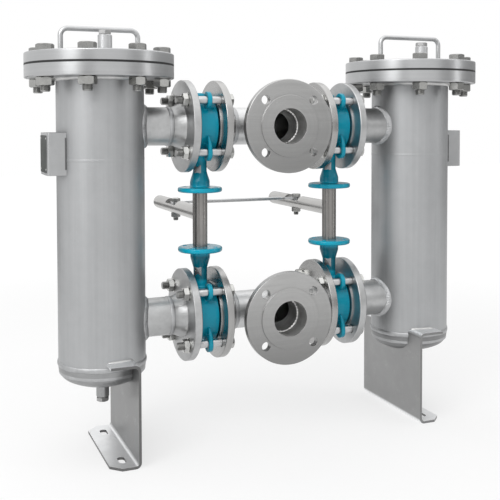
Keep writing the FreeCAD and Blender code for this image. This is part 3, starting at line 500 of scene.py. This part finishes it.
def makePiece(name, patches, materials, stands=(), body="frame", sharp=35.0):
    points, faces, finish, start = [], [], [], 0
    for grid, closed, which in patches:
        rows, columns = grid.shape[:2]
        quads = gridFaces(rows, columns, start, closed)
        points.append(grid.reshape(-1, 3))
        faces.append(quads)
        finish.append(np.full(len(quads), which))
        start += rows * columns
    points, faces, finish = np.concatenate(points), np.concatenate(faces), np.concatenate(finish)
    mesh = bpy.data.meshes.new(name)
    mesh.vertices.add(len(points))
    mesh.vertices.foreach_set("co", points.astype(np.float32).ravel())
    mesh.loops.add(faces.size)
    mesh.loops.foreach_set("vertex_index", faces.astype(np.int32).ravel())
    mesh.polygons.add(len(faces))
    mesh.polygons.foreach_set("loop_start", np.arange(0, faces.size, 4, dtype=np.int32))
    mesh.polygons.foreach_set("material_index", finish.astype(np.int32))
    for material in materials:
        mesh.materials.append(material)
    mesh.update(calc_edges=True)
    work = joinPoints(mesh)   # closes seams and poles
    bmesh.ops.recalc_face_normals(work, faces=work.faces)
    work.to_mesh(mesh)
    work.free()
    mesh.shade_smooth()
    mesh.set_sharp_from_angle(angle=math.radians(sharp))
    addPiece(name, mesh, stands, body)

def unit(vector):
    vector = np.asarray(vector, float)
    return vector / np.linalg.norm(vector, axis=-1, keepdims=True)

def fullTurn(count):
    return np.linspace(0, 2 * np.pi, count, endpoint=False)

def placedGrid(grid, place, axis, corner):
    # each point's x, y, z go along corner, axis x corner and axis, from the place
    axis, corner = unit(axis), unit(corner)
    return grid @ np.stack([corner, np.cross(axis, corner), axis]) + np.asarray(place, float)

def stood(grid, place, axis, corner, which=0):
    # a tube stood at a place, with +Z along axis and +X along corner
    return tube(placedGrid(grid, place, axis, corner), which)

def about(radius, angle, height):
    # points at a radius, angle and height about +Z
    return np.stack([radius * np.cos(angle), radius * np.sin(angle), height + 0 * angle], -1)

def roundGrid(profile, columns=48):
    # a profile of (radius, height) pairs turned about +Z
    profile = np.asarray(profile, float)
    return about(profile[:, :1], fullTurn(columns), profile[:, 1:])

def rodGrid(radius, end, columns=32):
    return roundGrid([(0, 0), (radius, 0), (radius, end), (0, end)], columns)

# shares of the width across flats (face, slope, lip), of the bore (mouth, countersink) and of the face (dish)
hexShape = {"face": 0.472, "slope": 0.55, "lip": 0.01, "mouth": 1.12, "sink": 0.13, "dish": 0.86,
            "dishFloor": 0.82}

def hexGrid(flats, height, foot, bore=0.0, shape=hexShape):
    # a hexagon whose corners are cut by a cone, which lowers each wall by its own distance from the axis
    angle = fullTurn(48)
    wall = flats / 2 / np.cos(np.mod(angle, np.pi / 3) - np.pi / 6)
    face = np.full_like(angle, shape["face"] * flats)
    drop = (wall - face) * shape["slope"]
    lip = shape["lip"] * flats
    top = [(wall, height - drop - lip), (wall - lip, height - drop), (face, height)]
    if bore:
        floor = height - bore * shape["sink"]
        rows = [(0, 0), (face, 0), (wall - lip, drop), (wall, drop + lip)] + top
        rows += [(bore * shape["mouth"], height), (bore, floor), (0, floor)]
    else:
        rows = [(0, 0), (face, 0), (face, foot), (wall - lip, foot), (wall, foot + lip)] + top
        rows += [(face * shape["dish"], height), (face * shape["dishFloor"], height - lip), (0, height - lip)]
    return np.stack([about(radius, angle, high) for radius, high in rows])

# shares of the pitch: thread depth, flank steepness, flat crest, taper of the point
threadShape = {"rows": 8, "depth": 0.55, "flank": 1.25, "crest": 0.12, "point": 0.9}

def threadGrid(radius, pitch, start, end, columns=32, shape=threadShape):
    # a rod whose radius swings once per pitch, a step further with the angle, and closes to a cone at its end
    rows = int(round((end - start) / pitch * shape["rows"])) + 1
    angle = fullTurn(columns)
    high = np.linspace(start, end, rows)[:, None] + 0 * angle
    swing = np.abs(np.mod(high / pitch - angle / (2 * np.pi), 1.0) * 2 - 1)
    reach = radius - pitch * shape["depth"] * np.clip(shape["flank"] * swing - shape["crest"], 0, 1)
    reach = np.minimum(reach, radius - shape["point"] * pitch + (end - high))
    pole, tip = np.zeros((2, 1, columns, 3))
    pole[..., 2], tip[..., 2] = start, end
    return np.concatenate([pole, about(reach, angle, high), tip])

def leaning(k, side, step, shift, span):
    # no two bolts are wound up alike: step degrees more for each, wrapped to half a span either way
    return math.radians((step * k + (shift if side > 0 else 0)) % span - span // 2)

# studs and nuts of the covers, evenly round a circle about each vessel, sizes in metres
coverFasteners = {"count": 8, "firstAngle": 22.5, "circle": 0.120, "flats": 0.030, "head": 0.0125,
                  "nut": 0.016, "foot": 0.0006, "rod": 0.010, "pitch": 0.0025, "seatTop": 0.7725,
                  "seatUnder": 0.7245, "tail": 0.011, "lean": (37, 11, 14)}

def makeCoverFasteners(count, firstAngle, circle, flats, head, nut, foot, rod, pitch, seatTop, seatUnder,
                       tail, lean):
    bolts, nuts = [], []
    headGrid, nutGrid = hexGrid(flats, head, foot), hexGrid(flats, nut, foot, rod)
    tailGrid = threadGrid(rod, pitch, 0.0, nut + tail)
    for sign in sides.values():
        for k in range(count):
            angle = math.radians(firstAngle + 360 / count * k)
            x, y = sign * vesselX + circle * math.cos(angle), circle * math.sin(angle)
            turn = leaning(k, sign, *lean)
            corner = (math.cos(turn), math.sin(turn), 0)
            bolts.append(stood(headGrid, (x, y, seatTop), (0, 0, 1), corner))
            bolts.append(stood(tailGrid, (x, y, seatUnder), (0, 0, -1), corner, 1))
            nuts.append(stood(nutGrid, (x, y, seatUnder), (0, 0, -1), corner))
    makePiece("coverBoltSet", bolts, [coverHeadSteel, threadSteel], ["cover_bolts"])
    makePiece("coverNutSet", nuts, [coverNutSteel], ["cover_nuts"])

# bolts that clamp the valves between their flanges, at the corners of a square about each header axis
flangeFasteners = {"offset": 0.05127, "half": 0.041, "flats": 0.024, "head": 0.010, "nut": 0.013,
                   "foot": 0.0005, "rod": 0.008, "pitch": 0.002, "tail": 0.012, "threaded": 0.044,
                   "washer": 0.0014, "washerRadius": 0.0148, "ease": 0.0002, "waist": 0.985,
                   "lean": (29, 17, 16)}

def makeFlangeFasteners(offset, half, flats, head, nut, foot, rod, pitch, tail, threaded, washer,
                        washerRadius, ease, waist, lean):
    bolts, nuts = [], []
    headGrid, nutGrid = hexGrid(flats, head, foot), hexGrid(flats, nut - washer, foot, rod)
    end = 2 * half + nut + tail
    plain = end - threaded
    slim = rod * waist
    shank = roundGrid([(0, 0), (slim, 0), (slim, plain), (rod * 0.9, plain + 0.001), (0, plain + 0.001)], 32)
    thread = threadGrid(rod, pitch, plain, end)
    disc = roundGrid([(0, 0), (washerRadius - ease, 0), (washerRadius, ease), (washerRadius, washer - ease),
                      (washerRadius - ease, washer), (0, washer)])
    for height in levels.values():
        for valve in (-valveX, valveX):
            for k, (y, z) in enumerate(((-1, 1), (-1, -1), (1, 1), (1, -1))):
                y, z = y * offset, height + z * offset
                turn = leaning(k, valve, *lean)
                corner = (0, math.cos(turn), math.sin(turn))
                bolts.append(stood(headGrid, (valve + half, y, z), (1, 0, 0), corner))
                bolts.append(stood(shank, (valve + half, y, z), (-1, 0, 0), corner, 2))
                bolts.append(stood(thread, (valve + half, y, z), (-1, 0, 0), corner, 1))
                nuts.append(stood(disc, (valve - half, y, z), (-1, 0, 0), corner))
                nuts.append(stood(nutGrid, (valve - half - washer, y, z), (-1, 0, 0), corner))
    makePiece("flangeBoltSet", bolts, [boltSteel, threadSteel, brightRod], ["flange_bolts"])
    makePiece("flangeNutSet", nuts, [nutSteel], ["flange_nuts"])

# the pivot bolts of the linkage turn with their levers
linkFasteners = {"y": 0.167, "flats": 0.018, "seat": 0.4666, "head": 0.0075, "foot": 0.0004, "rod": 0.006,
                 "pitch": 0.00175, "nutTop": 0.4425, "nut": 0.0108, "tail": 0.007, "lean": 0.5}

def makeLinkFasteners(y, flats, seat, head, foot, rod, pitch, nutTop, nut, tail, lean):
    up, down = (0, 0, 1), (0, 0, -1)
    for side, sign in sides.items():
        x, corner = sign * valveX, (math.cos(lean * sign), math.sin(lean * sign), 0)
        body = side + "_spindle"
        bolt = [stood(hexGrid(flats, head, foot), (x, y, seat), up, corner),
                stood(rodGrid(rod, seat - nutTop), (x, y, seat), down, corner),
                stood(threadGrid(rod, pitch, 0.0, nut + tail), (x, y, nutTop), down, corner, 1)]
        nuts = [stood(hexGrid(flats, nut, foot, rod), (x, y, nutTop), down, corner)]
        makePiece(side + "PivotBolt", bolt, [boltSteel, threadSteel], [side + "_link_bolt"],
                  body)
        makePiece(side + "PivotNut", nuts, [nutSteel], [side + "_link_nut"], body)

# hexagon plugs in the vent and drain sockets
# their seats: y, height, the way the head points, lean
plugSet = {"flats": 0.022, "head": 0.0085, "foot": 0.0008, "rod": 0.009215, "grip": 0.012,
           "seats": ((-0.046, 0.8055, 1.0, 0.35), (0.0, 0.1061, -1.0, 0.2))}

def makePlugs(flats, head, foot, rod, grip, seats):
    patches = []
    for k, sign in enumerate(sides.values()):
        for y, height, way, lean in seats:
            spot, corner = (sign * vesselX, y, height), (math.cos(lean + k), math.sin(lean + k), 0)
            patches.append(stood(hexGrid(flats, head, foot), spot, (0, 0, way), corner))
            patches.append(stood(rodGrid(rod, grip), spot, (0, 0, -way), corner))
    makePiece("plugSet", patches, [plugSteel], ["screw_plugs"])

# cover gaskets: flat rings whose outer edge is squeezed out between the eased flange edges; the black lip is
# partly a painted shadow of the gap
gasketRing = {"outer": 0.1424, "inner": 0.0845, "bottom": 0.7495, "top": 0.7515, "swell": 0.0009,
              "back": 0.0006, "curl": 0.0007}

def makeGaskets(outer, inner, bottom, top, swell, back, curl):
    turn = np.linspace(-np.pi / 2, np.pi / 2, 9)
    middle, half = (top + bottom) / 2, (top - bottom) / 2
    lip = [(outer - back + curl * math.cos(t), middle + (half + swell) * math.sin(t)) for t in turn]
    profile = [(inner, bottom), (outer - 2 * back, bottom)] + lip + [(outer - 2 * back, top), (inner, top)]
    rings = [hoop(roundGrid(profile, 240) + (sign * vesselX, 0, 0)) for sign in sides.values()]
    makePiece("coverGasketSet", rings, [blackGasket], ["cover_gaskets"])

makeGaskets(**gasketRing)
makeCoverFasteners(**coverFasteners)
makeFlangeFasteners(**flangeFasteners)
makeLinkFasteners(**linkFasteners)
makePlugs(**plugSet)
print("fasteners made")

# weld beads: a flat rounded section carried along a path, with a ripple every few millimetres
def beadGrid(path, out, side, width, rise, ripple=0.0032, closed=True, sink=0.35):
    # path, out and side are rows of points and directions: the section is half an ellipse, as wide as width
    # along side and as high as rise along out, and both swell and shrink with each ripple
    path, out, side = np.asarray(path, float), unit(out), unit(side)
    run = np.concatenate([[0.0], np.cumsum(np.linalg.norm(np.diff(path, axis=0), axis=1))])
    total = run[-1] + (np.linalg.norm(path[0] - path[-1]) if closed else 0.0)
    phase = np.mod(run / total * max(1, round(total / ripple)), 1.0)
    swell = 1 + 0.16 * (np.sqrt(phase) - 0.66)   # each ripple rises at once and falls off slowly
    wander = 1 + 0.05 * np.sin(run * 90.0) + 0.04 * np.sin(run * 210.0 + 1.3)
    if not closed:
        swell = swell * np.sqrt(np.clip(np.minimum(run, total - run) / width, 0.0, 1.0)) + 1e-4
    turn = np.linspace(0, np.pi, 9)
    across = np.concatenate([np.cos(turn), np.linspace(-0.9, 0.9, 3)]) * width / 2
    lift = np.concatenate([np.sin(turn) * rise, np.full(3, -sink * rise - 0.0004)])
    across = across[None, :] * (swell * wander)[:, None]
    lift = lift[None, :] * np.where(lift[None, :] > 0, (swell * wander)[:, None], 1.0)
    return path[:, None, :] + across[..., None] * side[:, None, :] + lift[..., None] * out[:, None, :]

def directionsRound(axis, radius, spacing=0.0011):
    # unit directions square to the axis, one for each step of a path at the radius
    first = unit(np.cross(axis, (0.3, 0.5, 0.81)))
    angle = fullTurn(max(24, int(2 * math.pi * radius / spacing)))[:, None]
    return np.cos(angle) * first + np.sin(angle) * np.cross(axis, first)

def circleBead(centre, axis, radius, width, rise):
    # a bead right round a pipe or vessel
    axis, out = unit(axis), directionsRound(unit(axis), radius)
    return hoop(beadGrid(np.asarray(centre, float) + radius * out, out, np.repeat(axis[None], len(out), 0),
                         width, rise))

def filletBead(centre, axis, radius, leg):
    # a bead in the corner between a round piece and the flat it stands on, axis pointing away from the flat
    axis, away = unit(axis), directionsRound(unit(axis), radius)
    path = np.asarray(centre, float) + (radius + leg * 0.42) * away + leg * 0.42 * axis
    return hoop(beadGrid(path, away + axis, away - axis, leg * 1.45, leg * 0.18, ripple=0.0026))

# round the vessels: height, radius, width, rise of each bead; butt and lip: width, rise
# fillets at flange, vent and handle: y, height, way they face, radius, leg
welds = {"girth": (0.179, 0.08415, 0.0100, 0.0019), "ridge": (0.1635, 0.0822, 0.0090, 0.0011),
         "seam": (0.570, 0.08415, 0.0050, 0.0002), "butt": (0.0088, 0.0011), "neckX": 0.215, "runX": 0.079,
         "branchY": -0.076, "shell": 0.08415, "pipe": 0.03805, "lipZ": 0.193, "lipTurn": (1.06, 1.66),
         "lip": (0.0075, 0.0016), "flange": (0.0, 0.7245, -1, 0.08415, 0.0055),
         "vent": (-0.046, 0.7725, 1, 0.0135, 0.0035), "handle": (0.0, 0.7725, 1, 0.005, 0.0028),
         "handleX": 0.075}

# section of the nozzle's root: how far it stands off the pipe and the shell, and 1 where it is rippled
rootSection = ((0.0, 0.0060, 0), (0.0004, 0.0058, 0), (0.0011, 0.0054, 1), (0.0019, 0.0049, 1),
               (0.0028, 0.0044, 1), (0.0036, 0.0037, 1), (0.0044, 0.0029, 1), (0.0051, 0.0020, 1),
               (0.0056, 0.0010, 1), (0.0059, 0.0002, 0), (0.0060, -0.0006, 0), (0.004, -0.004, 0),
               (0.0, -0.002, 0))

def rootWeld(sign, height, pipe, shell):
    # where the nozzle meets the shell: the pipe's circle pushed out until it lies on the shell
    angle = fullTurn(300)
    beat = 0.20 * np.sin(angle * 74 + 0.6 * np.sin(angle * 5)) + 0.10 * np.sin(angle * 11 + 0.7)
    waver = 0.04 * np.sin(angle * 74) + 0.05 * np.sin(angle * 9)
    grid = []
    for grow, climb, rippled in rootSection:
        ring = pipe + grow * (1 + rippled * waver)
        y, z = ring * np.cos(angle), ring * np.sin(angle)
        skin = np.sqrt((shell + climb * (1 + rippled * beat)) ** 2 - y ** 2)
        grid.append(np.stack([sign * (vesselX - skin), y, height + z], -1))
    return hoop(np.stack(grid))

def lipWeld(sign, hand, values):
    # a short bead along the shell on the lip of its leg
    angle = np.linspace(*values["lipTurn"], 60)
    away = np.stack([-sign * np.cos(angle), hand * np.sin(angle), 0 * angle], -1)
    up = np.array([0.0, 0.0, 1.0]) + 0 * away
    path = np.array([sign * vesselX, 0, values["lipZ"]]) + (values["shell"] + 0.0012) * away + 0.0004 * up
    return tube(beadGrid(path, away + up, away - up, *values["lip"], ripple=0.0034, closed=False))

def makeWelds(values):
    around, faint, roots, small, lips = [], [], [], [], []
    fillets = (("flange", 0.0), ("vent", 0.0), ("handle", -values["handleX"]), ("handle", values["handleX"]))
    for sign in sides.values():
        x = sign * vesselX
        for name, beads in (("girth", around), ("ridge", around), ("seam", faint)):
            z, *sizes = values[name]
            beads.append(circleBead((x, 0, z), (0, 0, 1), *sizes))
        for hand in (-1, 1):
            lips.append(lipWeld(sign, hand, values))
        for name, offset in fillets:
            y, z, way, *sizes = values[name]
            small.append(filletBead((x + offset, y, z), (0, 0, way), *sizes))
        for height in levels.values():
            for at in (values["neckX"], values["runX"]):
                around.append(circleBead((sign * at, 0, height), (1, 0, 0), values["pipe"], *values["butt"]))
            roots.append(rootWeld(sign, height, values["pipe"], values["shell"]))
    for height in levels.values():
        around.append(circleBead((0, values["branchY"], height), (0, 1, 0), values["pipe"], *values["butt"]))
    runs = {"roundWelds": (around, rootSteel), "lipWelds": (lips, weldSteel),
            "shellSeams": (faint, vesselSteel), "nozzleRoots": (roots, rootSteel),
            "smallWelds": (small, weldSteel)}
    for name, (beads, material) in runs.items():
        makePiece(name, beads, [material], sharp=60)

# inside of each branch: the machined bore, the root of its butt weld and the rough pipe wall behind it, all
# painted brighter than the pipe outside as painted light inside the branch
branchBores = {"radius": 0.03509, "mouth": -0.1196, "weld": -0.076, "deep": -0.040, "near": 0.006,
               "fine": 0.0055, "width": 0.0075, "rise": 0.0026, "wall": 0.0002}

def makeBores(radius, mouth, weld, deep, near, fine, width, rise, wall):
    rows = np.concatenate([np.linspace(mouth, weld + near, 24), np.linspace(weld - fine, weld + fine, 23),
                           np.linspace(weld + near, deep, 24)])
    depth = np.unique(np.round(rows, 6))[:, None]
    angle = fullTurn(220)
    bead = np.clip(1 - (np.abs(depth - weld) / (width / 2)) ** 2, 0, 1)
    ripple = 1 + 0.22 * np.sin(angle * 34 + 0.8 * np.sin(angle * 3)) + 0.12 * np.sin(angle * 7 + 1.1)
    skin = radius - np.sqrt(bead) * rise * ripple
    back = np.full_like(skin, radius + wall)
    reach, depth = np.concatenate([skin, back[::-1]]), np.concatenate([depth, depth[::-1]])
    sleeve = np.stack([reach * np.cos(angle), depth + 0 * angle, reach * np.sin(angle)], -1)
    sleeves = [hoop(sleeve + (0, 0, height)) for height in levels.values()]
    makePiece("branchBores", sleeves, [boreSteel], sharp=60)

makeWelds(welds)
makeBores(**branchBores)
print("welds made")

def roundedOutline(wide, high, corner, steps=9):
    # a rectangle whose corners are quarter circles, as rows of two
    turn = np.linspace(0, np.pi / 2, steps)
    parts = []
    for quarter, (right, up) in enumerate(((1, 1), (-1, 1), (-1, -1), (1, -1))):
        angle = turn + quarter * np.pi / 2
        middle = np.array((right * (wide / 2 - corner), up * (high / 2 - corner)))
        parts.append(middle + corner * np.stack([np.cos(angle), np.sin(angle)], -1))
    return np.concatenate(parts)

def rivetGrid(radius, squash, lift, steps, columns):
    # a rivet head: a flattened quarter circle turned about +Z
    swell = np.linspace(0, np.pi / 2, steps)
    dome = np.stack([radius * np.cos(swell), squash * radius * np.sin(swell) + lift], -1)
    return roundGrid(np.concatenate([[(0, 0), (radius, 0)], dome]), columns)

# bare identification plates: a thin sheet with rounded corners on the brackets, held by four dome rivets
namePlate = {"face": 0.45715, "wide": 0.074, "high": 0.070, "z": 0.582, "thick": 0.0009, "corner": 0.004,
             "rivetY": 0.031, "rivetZ": 0.029, "rivet": 0.0021, "sunk": 0.0001}

def makeNamePlates(face, wide, high, z, thick, corner, rivetY, rivetZ, rivet, sunk):
    sheets = []
    outline = roundedOutline(wide, high, corner)
    for sign in sides.values():
        layers = []
        for share, lift in ((0.0, -sunk), (1.0, -sunk), (1.0, thick - 2 * sunk), (0.995, thick),
                            (0.0, thick)):
            layer = np.full((len(outline), 3), sign * (face + lift))
            layer[:, 1:] = share * outline + (0, z)
            layers.append(layer)
        sheets.append(tube(np.stack(layers)))
        for y in (-rivetY, rivetY):
            for up in (-rivetZ, rivetZ):
                spot = (sign * face, y, z + up)
                sheets.append(stood(rivetGrid(rivet, 0.45, thick, 7, 20), spot, (sign, 0, 0), (0, 1, 0), 1))
    makePiece("namePlates", sheets, [plateGrey, boltSteel])

# bare tags bent round the valve necks: part of a cylinder with rounded corners and two rivets, in degrees
neckTag = {"radius": 0.01425, "thick": 0.0006, "turn": 58.0, "high": 0.021, "corner": 0.0022, "away": 0.0885,
           "facing": -129.0, "rivet": 0.0011, "rivetTurn": 0.72}

def makeNeckTags(radius, thick, turn, high, corner, away, facing, rivet, rivetTurn):
    patches = []
    half, middle = math.radians(turn) / 2, math.radians(facing)
    outline = roundedOutline(2 * half, high, corner)
    for level, height in levels.items():
        z = height + (-away if level == "upper" else away)
        for sign in sides.values():
            layers = []
            for share, lift in ((0.0, 0.0), (0.5, 0.0), (1.0, 0.0), (1.0, thick), (0.5, thick), (0.0, thick)):
                layer = about(radius + lift, middle + share * outline[:, 0], z + share * outline[:, 1])
                layers.append(layer + (sign * valveX, 0, 0))
            patches.append(tube(np.stack(layers)))
            for angle in (middle - rivetTurn * half, middle + rivetTurn * half):
                out = (math.cos(angle), math.sin(angle), 0.0)
                spot = np.array([sign * valveX, 0, z]) + (radius + thick) * np.array(out)
                patches.append(stood(rivetGrid(rivet, 0.5, 0.0, 5, 14), spot, out, (0, 0, 1), 1))
    makePiece("neckTags", patches, [tagSteel, boltSteel])

makeNamePlates(**namePlate)
makeNeckTags(**neckTag)

def liftPoints(mesh, near, far, move):
    # shifts a mesh's points upwards, by nothing at the near height to all of it at the far height and beyond
    spot = np.empty(len(mesh.vertices) * 3, np.float32)
    mesh.vertices.foreach_get("co", spot)
    spot = spot.reshape(-1, 3)
    spot[:, 2] += move * np.clip((spot[:, 2] - near) / (far - near), 0.0, 1.0)
    mesh.vertices.foreach_set("co", spot.ravel())

# the right lifting handle stands a little taller in the photo than the left one: foot, bend and lift
tallHandle = (0.7725, 0.800, 0.0078)

def makeTallHandle(sizes):
    mesh = nodes["right_cover_handle"].data.copy()
    liftPoints(mesh, *sizes)
    addPiece("rightLiftHandle", mesh, ["right_cover_handle"])

makeTallHandle(tallHandle)

# valve bodies as castings: the CAD body's skin is re-laid in small cells and eased, which rounds its edges
# the photo has the top flanges a little off their standard height: where the shift starts and ends, its size
casting = {"cell": 0.0012, "ease": 7, "strength": 0.55, "upper": (0.575, 0.515, -0.003),
           "lower": (0.312, 0.371, 0.006)}

def makeCasting(level, side, values):
    name = level + "_" + side + "_valve_body"
    rough = link(bpy.data.objects.new(name + "Cells", nodes[name].data.copy()))
    work = joinPoints(rough.data)
    work.to_mesh(rough.data)
    work.free()
    cells = rough.modifiers.new("cells", "REMESH")
    cells.mode, cells.voxel_size, cells.use_smooth_shade = "VOXEL", values["cell"], True
    ease = rough.modifiers.new("ease", "SMOOTH")
    ease.factor, ease.iterations = values["strength"], values["ease"]
    skin = bpy.data.meshes.new_from_object(rough.evaluated_get(bpy.context.evaluated_depsgraph_get()))
    bpy.data.objects.remove(rough)
    liftPoints(skin, *values[level])
    skin.materials.clear()
    skin.materials.append(tealEnamel)
    skin.shade_smooth()
    addPiece(level + side.capitalize() + "Casting", skin, [name])
    print("casting", name, len(skin.polygons), "faces")

for level in levels:
    for side in sides:
        makeCasting(level, side, casting)

# cast ribs that run from the lower bolt ears up onto the ring: a tapering round bar along a smooth curve
earRib = {"knots": ((0.0635, -0.0475), (0.0650, -0.0360), (0.0590, -0.0270), (0.0525, -0.0185)),
          "thick": 0.0046, "thin": 0.0024, "blunt": 0.9, "widen": 1.05}

def makeEarRibs(knots, thick, thin, blunt, widen):
    step = np.linspace(0, 1, 26)[:, None]
    first, second, third, last = np.array(knots)
    rest = 1 - step
    curve = rest ** 3 * first + step ** 3 * last + 3 * rest * step * (rest * second + step * third)
    run = unit(np.gradient(curve, axis=0))
    across = np.stack([run[:, 1], -run[:, 0]], -1)
    tip = np.clip(step - blunt, 0, 1) / (1 - blunt)
    radius = (thick + (thin - thick) * step ** 1.5) * np.sqrt(np.clip(1 - tip ** 2, 0.0, 1))
    angle = fullTurn(20)
    patches = []
    for height in levels.values():
        for sign in sides.values():
            for hand in (-1, 1):
                grid = np.empty((len(step), len(angle), 3))
                grid[..., 0] = sign * valveX + widen * radius * np.sin(angle)
                grid[..., 1] = hand * (curve[:, :1] + radius * np.cos(angle) * across[:, :1])
                grid[..., 2] = height + curve[:, 1:] + radius * np.cos(angle) * across[:, 1:]
                end = np.repeat(grid[:1].mean(1, keepdims=True), len(angle), 1)
                patches.append(tube(np.concatenate([end, grid])))
    makePiece("earRibs", patches, [tealEnamel], sharp=60)

makeEarRibs(**earRib)
print("bodies cast")

# white studio: the world and the floor show white to the camera, to glossy and to transmitted rays
studio = {"whiteness": 1.0, "fill": 0.55, "floorSpan": 9.0, "floorGlow": 0.62, "floorColour": 0.37,
          "fade": (0.9, 2.2), "bounce": 0.45}

def isSeen(tree):
    path = tree.nodes.new("ShaderNodeLightPath").outputs
    seen = mathNode("MAXIMUM", path["Is Camera Ray"], path["Is Glossy Ray"])
    return mathNode("MAXIMUM", seen, path["Is Transmission Ray"])

def makeWorld(values):
    world = bpy.data.worlds.new("whiteStudio")
    bpy.context.scene.world = world
    world.use_nodes = True
    background = world.node_tree.nodes["Background"].inputs
    feed(background["Color"], (1.0, 1.0, 1.0, 1.0))
    feed(background["Strength"], spread(isSeen(world.node_tree), values["fill"], values["whiteness"]))

def stageMesh(name, points, faces, material):
    mesh = bpy.data.meshes.new(name)
    mesh.from_pydata(points, [], faces)
    mesh.materials.append(material)
    thing = link(bpy.data.objects.new(name, mesh))
    return thing

def makeFloor(values):
    # a flat square whose far part glows white and whose near part takes the shadow
    half, grey = values["floorSpan"], (values["floorColour"],) * 3
    material, shader, place = startMaterial("paleFloor")
    seen = isSeen(material.node_tree)
    far = ramp(vectorNode("LENGTH", place), *values["fade"], smooth=True)
    glow = ramp(far, 0.0, 1.0, values["floorGlow"], 1.0)
    feed(shader["Base Color"], blendColour(times(far, seen), grey, origin))
    feed(shader["Emission Strength"], times(glow, spread(seen, values["bounce"], 1.0)))
    feed(shader["Emission Color"], (1.0, 1.0, 1.0, 1.0))
    feed(shader["Roughness"], 0.9)
    feed(shader["Specular IOR Level"], 0.1)
    corners = [(-half, -half, 0.0), (half, -half, 0.0), (half, half, 0.0), (-half, half, 0.0)]
    stageMesh("floor", corners, [(0, 1, 2, 3)], material)

# soft boxes: place, what they point at, width and height, power in watts
softBoxes = {
    "frontLeftBox": ((-2.2, -2.0, 2.2), (0.0, 0.0, 0.45), (2.6, 2.6), 62.0),
    "rightStrip": ((2.2, -1.3, 0.9), (0.0, 0.0, 0.6), (0.30, 1.8), 4.0),
    "topBox": ((0.0, 0.2, 3.0), (0.0, 0.0, 0.4), (5.4, 4.4), 46.0),
}

def makeLamp(name, place, target, size, power):
    data = bpy.data.lights.new(name, "AREA")
    data.shape = "RECTANGLE"
    data.size, data.size_y = size
    data.energy = power
    lamp = link(bpy.data.objects.new(name, data))
    lamp.location = place
    lamp.rotation_mode = "QUATERNION"
    lamp.rotation_quaternion = (Vector(target) - Vector(place)).to_track_quat("-Z", "Y")

# grey cards stand round the studio like its darker walls, so that turned steel has something to mirror:
# direction and half width in degrees, distance, height, grey
greyCards = {
    "rightCard": (2.0, 66.0, 3.2, 1.3, 0.46),
    "frontCard": (-128.0, 10.0, 3.0, 1.7, 0.36),
    "lowBackCard": (100.0, 42.0, 2.1, 0.42, 0.26),
}

def makeCard(name, direction, half, far, height, grey, steps=16, foot=0.02):
    turn = np.radians(np.linspace(direction - half, direction + half, steps + 1))
    points = np.concatenate([about(far, turn, foot), about(far, turn, height)])
    faces = [(k, k + 1, k + steps + 2, k + steps + 1) for k in range(steps)]
    material, shader = startMaterial(name)[:2]
    feed(shader["Base Color"], (grey, grey, grey, 1.0))
    feed(shader["Roughness"], 0.9)
    stageMesh(name, points.tolist(), faces, material).visible_camera = False

makeWorld(studio)
makeFloor(studio)
for name, values in greyCards.items():
    makeCard(name, *values)
for name, values in softBoxes.items():
    makeLamp(name, *values)
print("studio lit")
